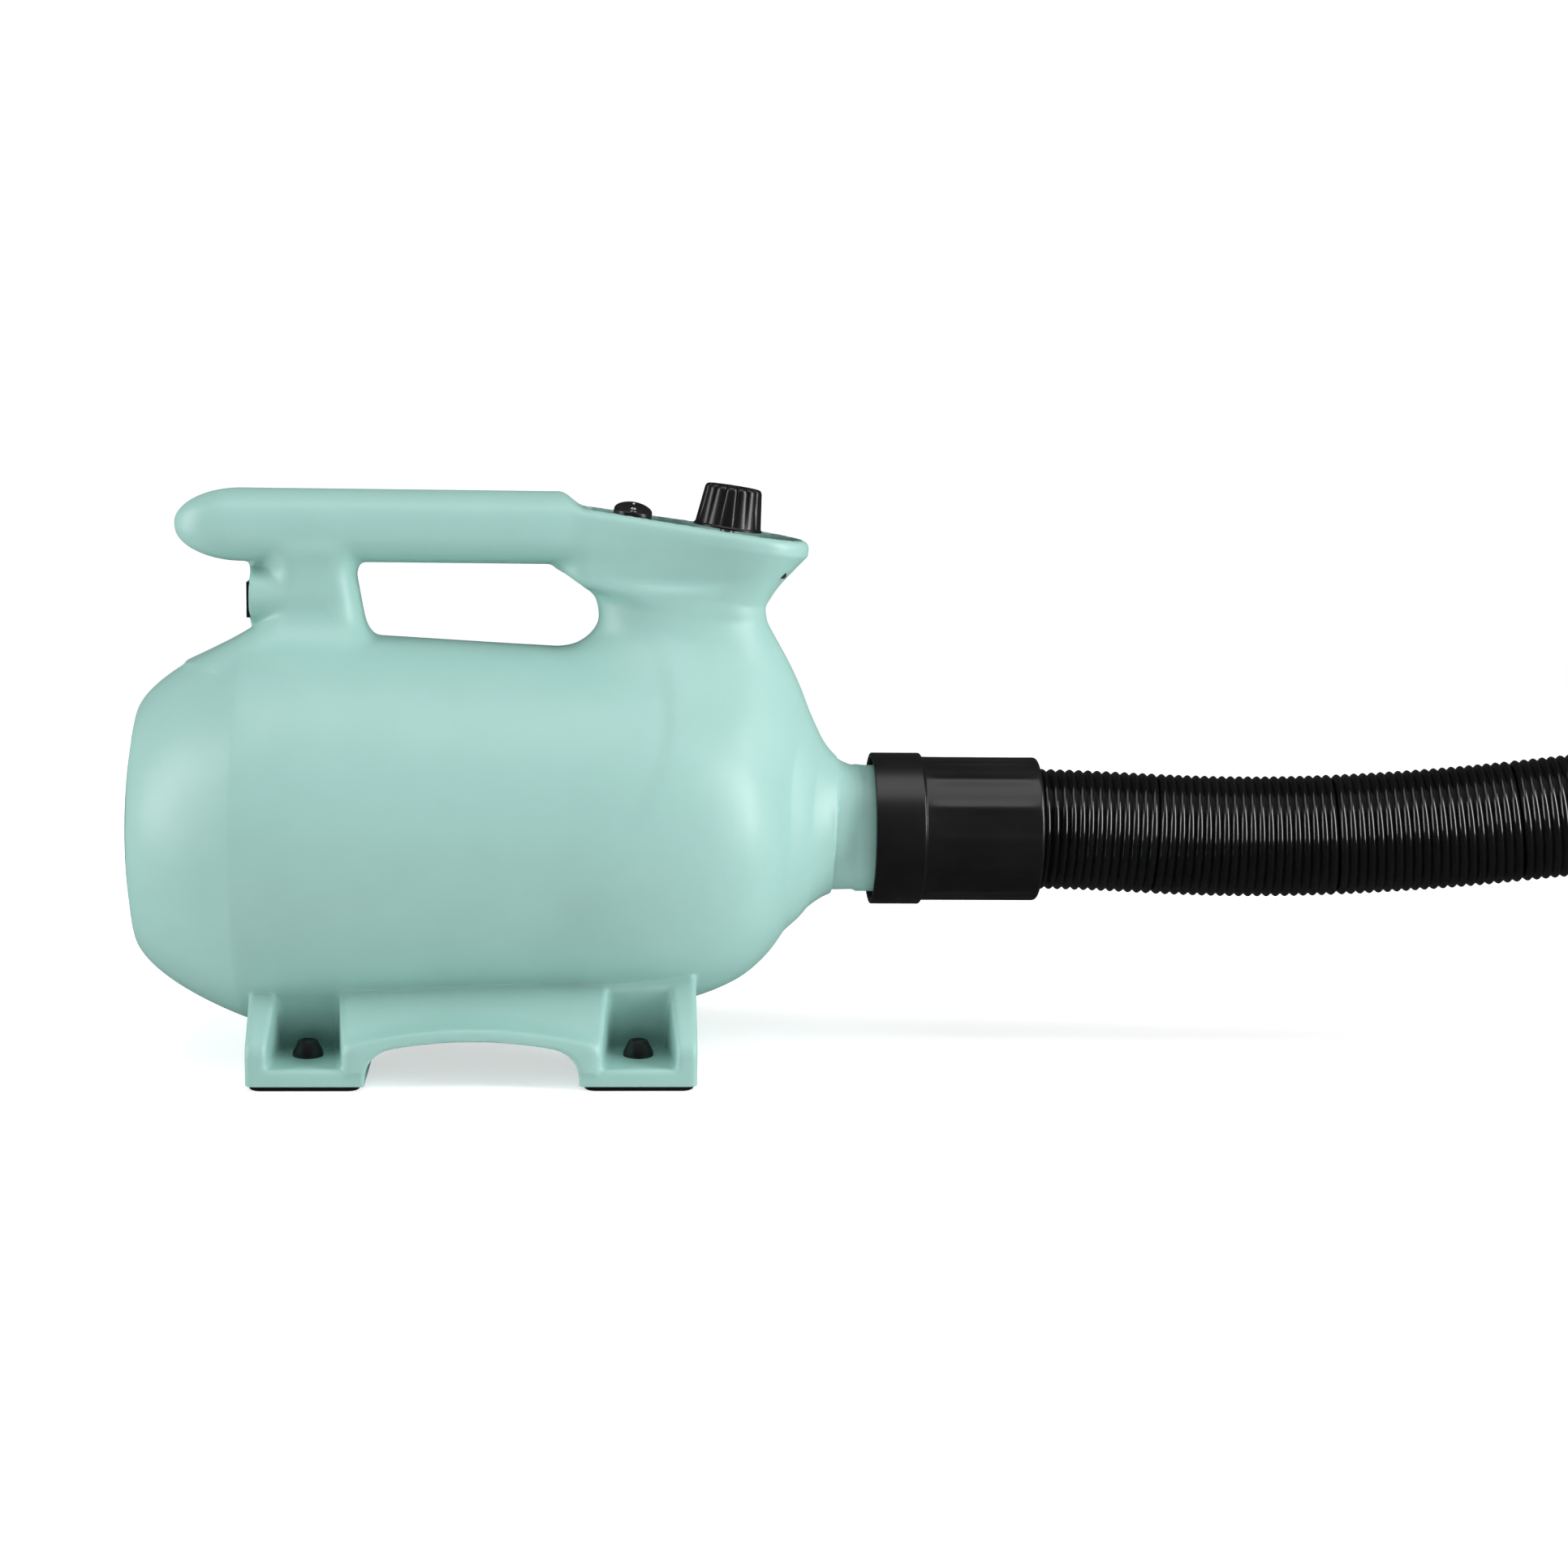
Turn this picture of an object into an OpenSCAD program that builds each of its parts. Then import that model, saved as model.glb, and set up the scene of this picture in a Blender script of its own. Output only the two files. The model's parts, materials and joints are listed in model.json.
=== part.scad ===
// Pet dryer: a barrel-shaped blower with a top handle, a control bowl, four feet,
// a universal motor with a two-stage fan, and a twist-lock stretch hose with a nozzle.
// Frame: +X is the way the air leaves, +Z is up, and the origin is on the floor,
// midway between the feet. All sizes are in millimetres.

/* [Barrel] */
// Height of the barrel's axis above the floor
axis_z = 108; // [107:0.5:110]
// Thickness of the housing wall
wall = 3.2; // [2.6:0.2:3.6]
// Radius of the intake opening at the rear
intake_r = 57; // [56.5:0.5:57.5]

/* [Handle] */
// Height of the middle of the grip above the floor
grip_z = 249; // [248:0.5:250]
// Height of the grip's section
grip_h = 34; // [32:1:36]
// Width of the grip's section
grip_w = 36; // [34:1:38]

/* [Control bowl] */
// Slope of the control panel, front edge down
panel_tilt = 8; // [7:0.5:9]
// Depth of the panel below the rim of the bowl
panel_drop = 4; // [3.5:0.5:4.5]
// Radius of the speed knob at its base
knob_r = 15.5; // [14.5:0.5:16]
// Number of lobes on the speed knob
knob_lobes = 14; // [12:1:18]
// Tilt of the rocker either side of its middle position
rocker_tilt = 14; // [10:1:14]

/* [Feet] */
// Length of the base, along the barrel
base_l = 204.4; // [202:0.4:206]
// Width of the base, across the feet
base_w = 170; // [168:1:172]
// Length of one foot
foot_l = 53.5; // [52:0.5:55]

/* [Motor] */
// Radius of the fan case
fan_case_r = 55; // [54:0.5:55]
// Radius of the two impellers
impeller_r = 49; // [46:0.5:50]
// Number of curved blades on an impeller
blade_count = 7; // [6:1:9]

/* [Hose] */
// Outside radius of the hose
hose_r = 28.8; // [28.5:0.1:28.8]
// Outside radius of the accessory spigot on the nozzle
spigot_r = 16; // [15.5:0.1:17]

/* [Hidden] */
$fn = 96;
eps = 0.01;
seam_gap = 0.1;                     // gap between the two housing halves
hull_fn = 32;
mint = "#9fd5c9";
black = "#1c1d1f";

// ---- Barrel outline: [x, r] curves, rear to front
rear_x = -162;
nose_x = 168;
dome_curve = [[rear_x, 0], [rear_x, 26], [-160, 47], [-156, 58]];
rear_curve = [[-156, 58], [-153.5, 68.5], [-128, 82.5], [-107.5, 89.2]];
flank_curve = [[-107.5, 89.2], [-89.5, 93.4], [0, 87.2], [46.5, 85.2]];
front_curve = [[46.5, 85.2], [85, 83.9], [112, 76.5], [132.7, 60.5]];
nose_steps = [[139, 54.5], [143.5, 48.6], [146.5, 47], [151.5, 42.8], [156, 37.5], [159, 33.8], [162, 31.8]];

// ---- Outlet neck
neck_r = 29;
neck_bead_r = 30.2;
neck_bore = 26;
neck_step_x = 179;
neck_end_x = 209;
lug_x = 202;
lug_w = 5;
lug_angle = 32;                     // of the first lug above the horizontal
bayonet_turn = 30;

// ---- Rear cover and filter
collar_end_x = -136;
cover_skirt_t = 2;
cover_gap = 0.3;

// ---- Post, tower and bowl
post_x = -74;
boss_z = 215.5;
boss_end_x = -104.8;
rim_x = 105;                        // the panel frame's origin
rim_z = 251.5;
bowl_front_u = 23;
bowl_front_r = 29.5;
bowl_rear_u = -47;
bowl_rear_r = 18;
rim_width = 4;
panel_t = 2.5;
switch_u = -33.5;
knob_u = 11.5;
pinch_z = 214;
column_bore_z = 150;                // the tower's bore runs between these heights
column_top_z = 241;

// ---- Base
pad_t = 2.2;
pad_l = 50;
pad_w = 34;
pad_y = 67;
foot_x = (base_l - foot_l) / 2;
stem_y = 60;
stem_r = 3.5;
pocket_w = 25.6;
pocket_flare = 4.5;                 // how much wider each side is at the mouth
pocket_depth = 40;
pocket_floor_z = 12;
ledge_z = 19.6;                     // the side leans in above this height
arch_z = 23;
arch_corner_r = 14;
arch_band = 6.5;

// ---- Screws that close the housing: [x, z] on the joining plane
housing_screws = [
    [-90, axis_z + 81], [62, axis_z + 76], [-90, axis_z - 81], [62, axis_z - 76],
    [-122, grip_z], [0, grip_z + 8], [142, 229.5], [126, axis_z - 56]
];
screw_shank_r = 1.6;
screw_head_r = 3.6;
screw_head_y = 6;
screw_l = 20;

// ---- Motor stations along the axis
case_rear_x = -120;
case_front_x = -74;
eye_r = 22;
shaft_r = 4;
stack_x = [-58, -22];               // lamination stack, rear and front faces
coil_y = 28.4;                      // distance of a field coil from the axis
frame_r = 43;
end_bracket_x = [-2, 14];
spring_turns = 5;
rear_rib_x = [-111, -105];
front_rib_x = [3, 9];
rear_rib_r = 65;
front_rib_r = 52;

// ---- Coupler and hose stations along the axis
coupler_x = [186.2, 210, 266];
coupler_r = [36, 34];
mouth_r = 33.4;
mouth_end_x = 191;
bushing_x = [212.5, 261.5];
bushing_r = 30.9;
flute_r = 24;
hose_bore = 26.4;
stub_l = 48;
link_l = 86;
link_ball_r = 25.8;
link_gap = 8;                       // a link's end stands this far from the pivot
link_pitch = [0, -2, 4, 8, 8, 3, -5, -12];
link_yaw = [0, -5, -7.5, -9, -9, -8, -7, -6];
hose_start = [232, 0, axis_z];
cuff_l = 46;
nozzle_l = 92;

// ---- Helpers
function bezier(p, t) =
    pow(1 - t, 3) * p[0] + 3 * pow(1 - t, 2) * t * p[1]
    + 3 * (1 - t) * t * t * p[2] + pow(t, 3) * p[3];
function bezier_run(p, n) = [for (i = [1:n]) bezier(p, i / n)];
function unit(v) = v / norm(v);
// Moves an open [x, r] line inwards by d, along its normals
function inset(line, d) = [
    for (i = [1:len(line) - 2])
        let (t = unit(line[i + 1] - line[i - 1]))
        line[i] + d * [t[1], -t[0]]
];
function arc(c, r, a0, a1, n) = [
    for (i = [0:n])
        let (a = a0 + (a1 - a0) * i / n)
        c + r * [cos(a), sin(a)]
];

outer_line = concat(
    [dome_curve[0]], bezier_run(dome_curve, 4), bezier_run(rear_curve, 6),
    bezier_run(flank_curve, 8), bezier_run(front_curve, 7), nose_steps, [[nose_x, neck_r]]
);

// Local +Z runs along the barrel's axis, with local z equal to x
module along_axis() { translate([0, 0, axis_z]) rotate([0, 90, 0]) children(); }
// Turns an outline of [x, r] points about the barrel's axis
module turned(line) { along_axis() rotate_extrude() polygon([for (p = line) [p[1], p[0]]]); }
module ring(x0, x1, r0, r1) {
    along_axis() translate([0, 0, x0]) difference() {
        cylinder(r = r1, h = x1 - x0);
        translate([0, 0, -1]) cylinder(r = r0, h = x1 - x0 + 2);
    }
}
// The panel's frame: origin on the rim, +X down the slope to the front, +Z out of the panel
module on_panel() { translate([rim_x, 0, rim_z]) rotate([0, panel_tilt, 0]) children(); }
module across(x, z, y0, y1, r) {
    translate([x, y1, z]) rotate([90, 0, 0]) cylinder(r = r, h = y1 - y0, $fn = 48);
}
// Egg shape: a wide front arc and a narrow rear arc joined by their common tangents
module bowl_outline(grow) {
    turn = acos((bowl_rear_r - bowl_front_r) / (bowl_front_u - bowl_rear_u));
    polygon(concat(
        arc([bowl_front_u, 0], bowl_front_r + grow, -turn, turn, 30),
        arc([bowl_rear_u, 0], bowl_rear_r + grow, turn, 360 - turn, 20)
    ));
}

// ---- Housing
module barrel() {
    turned(concat(outer_line, [[neck_step_x, neck_r], [neck_step_x + 2, neck_bead_r],
        [neck_end_x, neck_bead_r], [neck_end_x, 0]]));
}

// Rounded rectangle a by b, as points
function rounded(a, b, r) = [
    for (q = [0:3])
        let (c = [(a / 2 - r) * (q == 0 || q == 3 ? 1 : -1), (b / 2 - r) * (q < 2 ? 1 : -1)])
        each arc(c, r, 90 * q, 90 * q + 90, 5)
];
// The grip is where its section, its side profile and its plan all meet
module grip() {
    tip_x = -141;
    end_x = 70;
    l = 2 * (end_x - tip_x);
    intersection() {
        translate([tip_x, 0, grip_z]) rotate([0, 90, 0]) linear_extrude(height = end_x - tip_x)
            polygon(rounded(grip_h, grip_w, 11));
        translate([end_x, grip_w, grip_z]) rotate([90, 0, 0]) linear_extrude(height = 2 * grip_w)
            polygon(rounded(l, grip_h + 1, 16));
        translate([end_x, 0, grip_z - grip_h]) linear_extrude(height = 2 * grip_h)
            polygon(rounded(l, grip_w + 1, 17));
    }
}
function ellipse(x0, x1, half_w) = [
    for (a = [0:10:350]) [(x0 + x1) / 2 + (x1 - x0) / 2 * cos(a), half_w * sin(a)]
];
module oval(x0, x1, half_w, z) {
    translate([0, 0, z]) linear_extrude(height = 1) polygon(ellipse(x0, x1, half_w));
}
module post() {
    hull() {
        oval(post_x - 18, post_x + 18, 15.5, grip_z - 8);
        oval(post_x - 20, post_x + 20.5, 18, 206);
        oval(post_x - 26, post_x + 26, 24, axis_z + 80);
    }
    translate([boss_end_x, 0, boss_z]) rotate([0, 90, 0]) linear_extrude(height = 24)
        offset(r = 14) square([eps, 12], center = true, $fn = hull_fn);
}
module tower() {
    hull() {
        oval(52, 152, 44, 158);
        oval(60, 137.3, 24, pinch_z);
    }
    hull() {
        oval(62, 137.3, 24, pinch_z);
        on_panel() translate([0, 0, -1]) linear_extrude(height = 3) bowl_outline(0);
        on_panel() translate([0, 0, -6]) linear_extrude(height = 3) bowl_outline(1.5);
    }
    hull() {
        translate([117.3, 0, 207]) sphere(r = 20, $fn = hull_fn);
        translate([131, 0, 167]) sphere(r = 27, $fn = hull_fn);
        translate([141, 0, 126]) sphere(r = 27, $fn = hull_fn);
    }
}
// Clears everything above the bowl's rim, up to the end of the grip
module above_rim() {
    translate([0, 60, 0]) rotate([90, 0, 0]) linear_extrude(height = 120)
        polygon(concat(
            [[34, 290], [34, grip_z + grip_h / 2 + 1]],
            arc([48.5, 273.3], 14, 190, 254, 6),
            [[rim_x, rim_z], [rim_x + 70, rim_z - 70 * tan(panel_tilt)], [rim_x + 70, 290]]
        ));
}
module arch_outline(lift) {
    half = base_l / 2 - foot_l - lift * 0.1;
    top = arch_z + lift;
    corner = [half - arch_corner_r, top - arch_corner_r - 3.6];
    polygon(concat(
        [[half, -5], [half, corner[1] + 2]],
        arc(corner, arch_corner_r, 10, 78, 6),
        [for (i = [-4:4]) [-i * (half - 16) / 4.6, top - 5.5 * pow(i / 5, 2)]],
        arc([-corner[0], corner[1]], arch_corner_r, 102, 170, 6),
        [[-half, corner[1] + 2], [-half, -5]]
    ));
}
module base() {
    half_w = base_w / 2;
    lean_top = [40, ledge_z + 0.94 * (half_w - 40)];
    slope = [
        [-half_w, pad_t], [half_w, pad_t], [half_w, ledge_z], lean_top, [40, 80],
        [-40, 80], [-lean_top[0], lean_top[1]], [-half_w, ledge_z]
    ];
    difference() {
        union() {
            intersection() {
                translate([-base_l / 2, 0, 0]) rotate([90, 0, 90])
                    linear_extrude(height = base_l) polygon(slope);
                translate([0, base_w, 0]) rotate([90, 0, 0]) linear_extrude(height = 2 * base_w) difference() {
                    translate([-base_l / 2, pad_t]) square([base_l, 90]);
                    arch_outline(0);
                }
            }
            translate([0, half_w, 0]) rotate([90, 0, 0]) linear_extrude(height = base_w) difference() {
                intersection() {
                    arch_outline(arch_band);
                    translate([-90, pad_t]) square([180, 60]);
                }
                arch_outline(0);
            }
        }
        translate([-base_l, -34, -1]) cube([2 * base_l, 68, 30]);
        for (sx = [-1, 1], sy = [-1, 1]) {
            translate([sx * foot_x, sy * (base_w / 2 + 2), pocket_floor_z]) rotate([0, 0, sy > 0 ? 180 : 0])
                linear_extrude(height = 60) polygon([
                    [-pocket_w / 2 - pocket_flare, 0], [pocket_w / 2 + pocket_flare, 0],
                    [pocket_w / 2, pocket_depth], [-pocket_w / 2, pocket_depth]
                ]);
            translate([sx * foot_x, sy * stem_y, 0]) cylinder(r = stem_r + 0.1, h = 20, $fn = 48);
        }
    }
}
module housing_outer() {
    difference() {
        union() {
            barrel();
            grip();
            post();
            tower();
            base();
        }
        above_rim();
    }
}
// What stays standing inside the barrel: rear collar, two motor ribs and the screw bosses
module inner_ribs() {
    ring(-150, collar_end_x, intake_r - 1, intake_r + 3);
    ring(rear_rib_x[0], rear_rib_x[1], rear_rib_r, 95);
    ring(front_rib_x[0], front_rib_x[1], front_rib_r, 95);
    for (p = housing_screws) across(p[0], p[1], -26, 26, 5.5);
}
module barrel_cavity() {
    inner_line = inset(outer_line, wall);
    turned(concat([[rear_x + 12, 0]], [for (p = inner_line) if (p[0] > rear_x + 12 && p[1] > neck_bore) p],
        [[150, neck_bore], [neck_end_x + 1, neck_bore], [neck_end_x + 1, 0]]));
}
module tower_cavity() {
    on_panel() translate([0, 0, -panel_drop - panel_t]) linear_extrude(height = 30) bowl_outline(-rim_width);
    on_panel() for (p = panel_screw_spots) translate([p[0], p[1], panel_top - panel_t - panel_screw_l - 1])
        cylinder(r = 1.3, h = panel_screw_l + 2, $fn = 32);
    on_panel() translate([switch_u, 0, -24]) cylinder(r = 12.5, h = 23);
    on_panel() translate([knob_u, 0, -24]) cylinder(r = 14, h = 23);
    translate([0, 0, column_bore_z]) linear_extrude(height = column_top_z - column_bore_z)
        polygon(ellipse(67, 132, 19));
}
module wire_ways() {
    translate([post_x, 0, grip_z - 8]) rotate([0, 90, 0]) cylinder(r = 6, h = 150, $fn = 48);
    translate([post_x, 0, boss_z - 5]) cylinder(r = 8, h = grip_z - boss_z + 2, $fn = 48);
    translate([48, 0, grip_z - 8]) rotate([0, 130, 0]) cylinder(r = 4, h = 28, $fn = 48);
    translate([boss_end_x - 1, -12.2, boss_z - 7.4]) cube([32, 24.4, 14.8]);
}
module screw_ways() {
    for (p = housing_screws) {
        across(p[0], p[1], screw_head_y - eps, 100, screw_head_r + 0.6);
        across(p[0], p[1], screw_head_y - screw_l - 2, screw_head_y, screw_shank_r + 0.1);
    }
}
// Two J-shaped grooves in the neck take the coupler's lugs
module bayonet_grooves() {
    for (turn = [0, 180]) along_axis() rotate([0, 0, 90 + turn + lug_angle]) {
        translate([0, 0, lug_x - lug_w / 2 - 0.5]) rotate([0, 0, -7])
            rotate_extrude(angle = bayonet_turn + 14) translate([28.9, 0]) square([3, lug_w + 1]);
        rotate([0, 0, bayonet_turn]) translate([28.7, -3.2, lug_x - lug_w / 2 - 0.3]) cube([4, 6.4, 20]);
    }
}
module seal_groove() { ring(191.5, 195.5, 28.6, 40); }
module housing() {
    difference() {
        housing_outer();
        difference() {
            barrel_cavity();
            inner_ribs();
        }
        along_axis() translate([0, 0, rear_x - 5]) cylinder(r = intake_r, h = 32);
        tower_cavity();
        wire_ways();
        screw_ways();
        bayonet_grooves();
        seal_groove();
    }
}
module half_space(side) {
    translate([-250, side > 0 ? seam_gap / 2 : -150 - seam_gap / 2, -10]) cube([500, 150, 350]);
}
module housing_right() { color(mint) intersection() { housing(); half_space(-1); } }
module housing_left() { color(mint) intersection() { housing(); half_space(1); } }

module pan_screw(l, shank_r, head_r) {
    cylinder(r = shank_r, h = l, $fn = 32);
    translate([0, 0, l]) difference() {
        cylinder(r = head_r, h = 2.4, $fn = 48);
        translate([0, 0, 1]) for (a = [0, 90]) rotate([0, 0, a]) cube([head_r, 0.9, 3], center = true);
    }
}
module housing_screws() {
    color("silver") for (p = housing_screws)
        translate([p[0], screw_head_y - screw_l, p[1]]) rotate([-90, 0, 0])
            pan_screw(screw_l, screw_shank_r, screw_head_r);
}

// ---- Rear cover and filter
module rear_cover() {
    skirt_r = intake_r - cover_gap;
    dome = concat([dome_curve[0]], [for (p = bezier_run(dome_curve, 8)) if (p[1] < skirt_r - 1) p]);
    back = [for (i = [len(dome) - 1:-1:0]) dome[i] + [3, 0]];
    color(mint) difference() {
        turned(concat(dome, [[-156.3, skirt_r], [-138, skirt_r], [-138, skirt_r - cover_skirt_t],
            [-150, skirt_r - cover_skirt_t]], [for (p = back) if (p[1] < skirt_r - cover_skirt_t) p]));
        for (k = [0:4]) for (a = [0:60:300])
            along_axis() rotate([0, 0, a + 6]) translate([0, 0, rear_x - 2])
                rotate_extrude(angle = 48) translate([12 + 8.4 * k, 0]) square([4.6, 14]);
    }
}
module intake_filter() {
    color("#3a3d3f") ring(-149, -139, 0.5, intake_r - cover_gap - cover_skirt_t - 0.2);
}

// ---- Control panel, switch and knob
panel_top = -panel_drop;
panel_screw_spots = [[-53, 8], [-53, -8], [33, 17], [33, -17]];
panel_screw_l = 7;
module control_panel() {
    color(black) on_panel() difference() {
        translate([0, 0, panel_top - panel_t + 0.05]) linear_extrude(height = panel_t - 0.05)
            bowl_outline(-rim_width - 0.25);
        translate([switch_u, 0, -20]) cylinder(r = 10.9, h = 30);
        translate([knob_u, 0, -20]) cylinder(r = 3.7, h = 30, $fn = 48);
        for (p = panel_screw_spots) translate([p[0], p[1], -20]) cylinder(r = 1.3, h = 30, $fn = 32);
    }
}
module panel_screws() {
    color("#2b2c2e") on_panel() for (p = panel_screw_spots)
        translate([p[0], p[1], panel_top - panel_t - panel_screw_l]) {
            cylinder(r = 1.2, h = panel_t + panel_screw_l, $fn = 32);
            translate([0, 0, panel_t + panel_screw_l]) cylinder(r1 = 2.4, r2 = 1.6, h = 1.1, $fn = 48);
        }
}
module switch_body() {
    color(black) on_panel() translate([switch_u, 0, panel_top]) difference() {
        union() {
            rotate_extrude() polygon([
                [0, -13], [10.8, -13], [10.8, 0], [13.5, 0], [13.5, 0.9], [11.9, 2.2], [0, 2.2]
            ]);
            for (x = [-5.5, 0, 5.5]) translate([x - 0.4, -3.1, -19]) cube([0.8, 6.3, 7]);
        }
        translate([0, 0, -8]) cylinder(r = 10.1, h = 20);
        rotate([0, 90, 0]) cylinder(r = 1.55, h = 21, center = true, $fn = 48);
    }
}
module rocker() {
    color("#232426") on_panel() translate([switch_u, 0, panel_top]) rotate([rocker_tilt, 0, 0]) {
        difference() {
            translate([0, 0, -1.5]) cylinder(r = 8.9, h = 9.5);
            translate([0, 0, 98]) sphere(r = 90.4, $fn = 96);
        }
        rotate([0, 90, 0]) cylinder(r = 1.5, h = 20, center = true, $fn = 48);
        translate([-3, -3.5, -6]) cube([6, 7, 5]);
    }
}
module speed_potentiometer() {
    color("#6d6f73") on_panel() translate([knob_u, 0, panel_top - panel_t]) difference() {
        union() {
            translate([0, 0, -12]) cylinder(r = 12, h = 12);
            cylinder(r = 3.5, h = panel_t + 5.5, $fn = 48);
            for (y = [-5, 0, 5]) translate([-16, y - 0.6, -9]) cube([5, 1.2, 0.8]);
        }
        translate([0, 0, -6]) cylinder(r = 3.05, h = 30, $fn = 48);
    }
}
module potentiometer_nut() {
    color("silver") on_panel() translate([knob_u, 0, panel_top]) difference() {
        cylinder(r = 6.2, h = 2, $fn = 6);
        translate([0, 0, -1]) cylinder(r = 3.55, h = 5, $fn = 48);
    }
}
module knob_shaft() {
    color("silver") on_panel() translate([knob_u, 0, panel_top - panel_t - 5])
        cylinder(r = 3, h = 24, $fn = 48);
}
module speed_knob() {
    disc_z = panel_drop + 0.4;
    height = 20;
    lobe = 1.5;
    color(black) on_panel() translate([knob_u, 0, panel_top]) difference() {
        union() {
            translate([0, 0, disc_z]) cylinder(r = knob_r + 1.3, h = 1.4);
            translate([0, 0, disc_z + 1.2]) linear_extrude(height = height - 1.2, scale = 0.85) polygon([
                for (a = [0:3:357])
                    let (r = knob_r - lobe * (1 - abs(cos(knob_lobes * a / 2))))
                    r * [cos(a), sin(a)]
            ]);
        }
        translate([0, 0, -1]) cylinder(r = 3.02, h = panel_drop + 14, $fn = 48);
        translate([0, 0, -1]) cylinder(r = 7, h = panel_drop + 4.6, $fn = 48);
    }
}
module circuit_board() {
    color("#2f6b3f") translate([80, -10, 152]) cube([38, 1.6, 40]);
}
module board_components() {
    color("#b08a2e") {
        translate([89, -8.3, 166]) rotate([-90, 0, 0]) cylinder(r = 6, h = 11);
        translate([102, -8.3, 156]) cube([13, 7, 11]);
        translate([84, -8.3, 179]) cube([11, 5, 9]);
    }
}
module heatsink() {
    color("silver") translate([98.5, -8.3, 172]) {
        cube([18, 2, 17]);
        for (x = [0:4:16]) translate([x, 1.9, 0]) cube([1.4, 9, 17]);
    }
}
module power_inlet() {
    color(black) translate([boss_end_x, 0, boss_z]) difference() {
        union() {
            translate([-1.6, -13, -8.2]) cube([1.6, 26, 16.4]);
            translate([-eps, -12, -7.2]) cube([22, 24, 14.4]);
        }
        translate([-2, -10.2, -5.4]) cube([16, 20.4, 10.8]);
    }
    color("silver") for (y = [-4.3, 4.3])
        translate([boss_end_x + 1, y, boss_z]) rotate([0, 90, 0]) cylinder(r = 1.2, h = 13.5, $fn = 32);
}

// A strand of wire through a list of points
module strand(points, r) {
    for (i = [0:len(points) - 2]) hull() {
        translate(points[i]) sphere(r = r, $fn = 10);
        translate(points[i + 1]) sphere(r = r, $fn = 10);
    }
}
module mains_leads() {
    color("#7a3b22") for (side = [-1, 1]) {
        y = side * 2.2;
        strand([
            [boss_end_x + 24.2, y * 2, boss_z], [-78, y, boss_z + 4], [-73, y, 232], [-66, y, grip_z - 8],
            [-20, y, grip_z - 8], [30, y, grip_z - 8], [48, y, grip_z - 8], [66, y, 226], [75, y, 219.5]
        ], 1.5);
    }
}
module motor_leads() {
    color("#26303a") for (side = [-1, 1]) {
        y = side * 3;
        strand([[92, y - 6, 150], [86, y, 140], [62, y * 2, 128], [40, y * 3, 122], [22, y * 4, 121],
            [17, y * 5, 121]], 1.5);
    }
}

// ---- Feet
module rubber_feet() {
    color("#141416") for (sx = [-1, 1], sy = [-1, 1]) translate([sx * foot_x, sy * pad_y, 0]) {
        difference() {
            translate([-pad_l / 2, -pad_w / 2, 0]) cube([pad_l, pad_w, pad_t - 0.05]);
            for (cx = [-1, 1], cy = [-1, 1]) translate([cx * pad_l / 2, cy * pad_w / 2, -1])
                rotate([0, 0, 45]) cube([7, 7, 10], center = true);
        }
        translate([0, sy * (stem_y - pad_y), 0]) {
            cylinder(r = stem_r, h = pocket_floor_z + 1, $fn = 48);
            translate([0, 0, pocket_floor_z + 0.1]) cylinder(r1 = 6.9, r2 = 4, h = 7);
        }
    }
}

// ---- Motor and fan
module acoustic_foam() { color("#4b4f4a") ring(-100, -2, 60, 73); }
module motor_mount_rear() { color("#202020") ring(-113, -103, fan_case_r + 0.1, rear_rib_r - 0.1); }
module motor_mount_front() { color("#202020") ring(1, 11, frame_r + 0.1, front_rib_r - 0.1); }
module fan_case() {
    color("silver") turned([
        [case_rear_x - 3, eye_r + 1], [case_rear_x - 3, eye_r + 2], [case_rear_x, eye_r + 4],
        [case_rear_x, fan_case_r], [case_front_x, fan_case_r], [case_front_x, fan_case_r - 1],
        [case_rear_x + 1, fan_case_r - 1], [case_rear_x + 1, eye_r + 1]]);
}
module spokes(n, r0, r1, w, x0, x1) {
    for (k = [0:n - 1]) along_axis() rotate([0, 0, 360 * k / n])
        translate([r0, -w / 2, x0]) cube([r1 - r0, w, x1 - x0]);
}
module motor_frame() {
    color("#a9adb0") difference() {
        union() {
            ring(case_front_x, -70, 12, fan_case_r);
            ring(-72, -64, 11.05, 15);
            spokes(4, frame_r - 4, frame_r, 12, -71, end_bracket_x[0]);
        }
        for (k = [0:5]) along_axis() rotate([0, 0, 60 * k + 15]) translate([0, 0, -80])
            rotate_extrude(angle = 32) translate([22, 0]) square([14, 20]);
        along_axis() translate([0, 0, -75]) cylinder(r = 11.05, h = 8.5);
    }
}
module diffuser() {
    color("#8d9194") {
        ring(-101, -99, eye_r, fan_case_r - 1.2);
        for (k = [0:9]) along_axis() rotate([0, 0, 36 * k]) translate([0, 0, -99 - eps])
            rotate_extrude(angle = 3) translate([26, 0]) square([26, 3]);
    }
}
module blades(x0, x1) {
    for (k = [0:blade_count - 1]) along_axis() rotate([0, 0, 360 * k / blade_count]) translate([0, 0, x0])
        linear_extrude(height = x1 - x0) translate([eye_r - 2, 15]) difference() {
            circle(r = 26);
            circle(r = 24.8);
            translate([-60, -60]) square([60, 120]);
            translate([-60, 0]) square([120, 60]);
        }
}
module impeller(x0, x1) {
    color("#c3c6c8") {
        ring(x0, x0 + 1, eye_r - 1, impeller_r);
        ring(x1 - 1, x1, shaft_r + 0.05, impeller_r);
        intersection() {
            blades(x0 + 0.5, x1 - 0.5);
            ring(x0, x1, eye_r - 3, impeller_r - 0.5);
        }
    }
}
module impeller_first() { impeller(-118, -104); }
module impeller_second() { impeller(-94, -78); }
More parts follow.
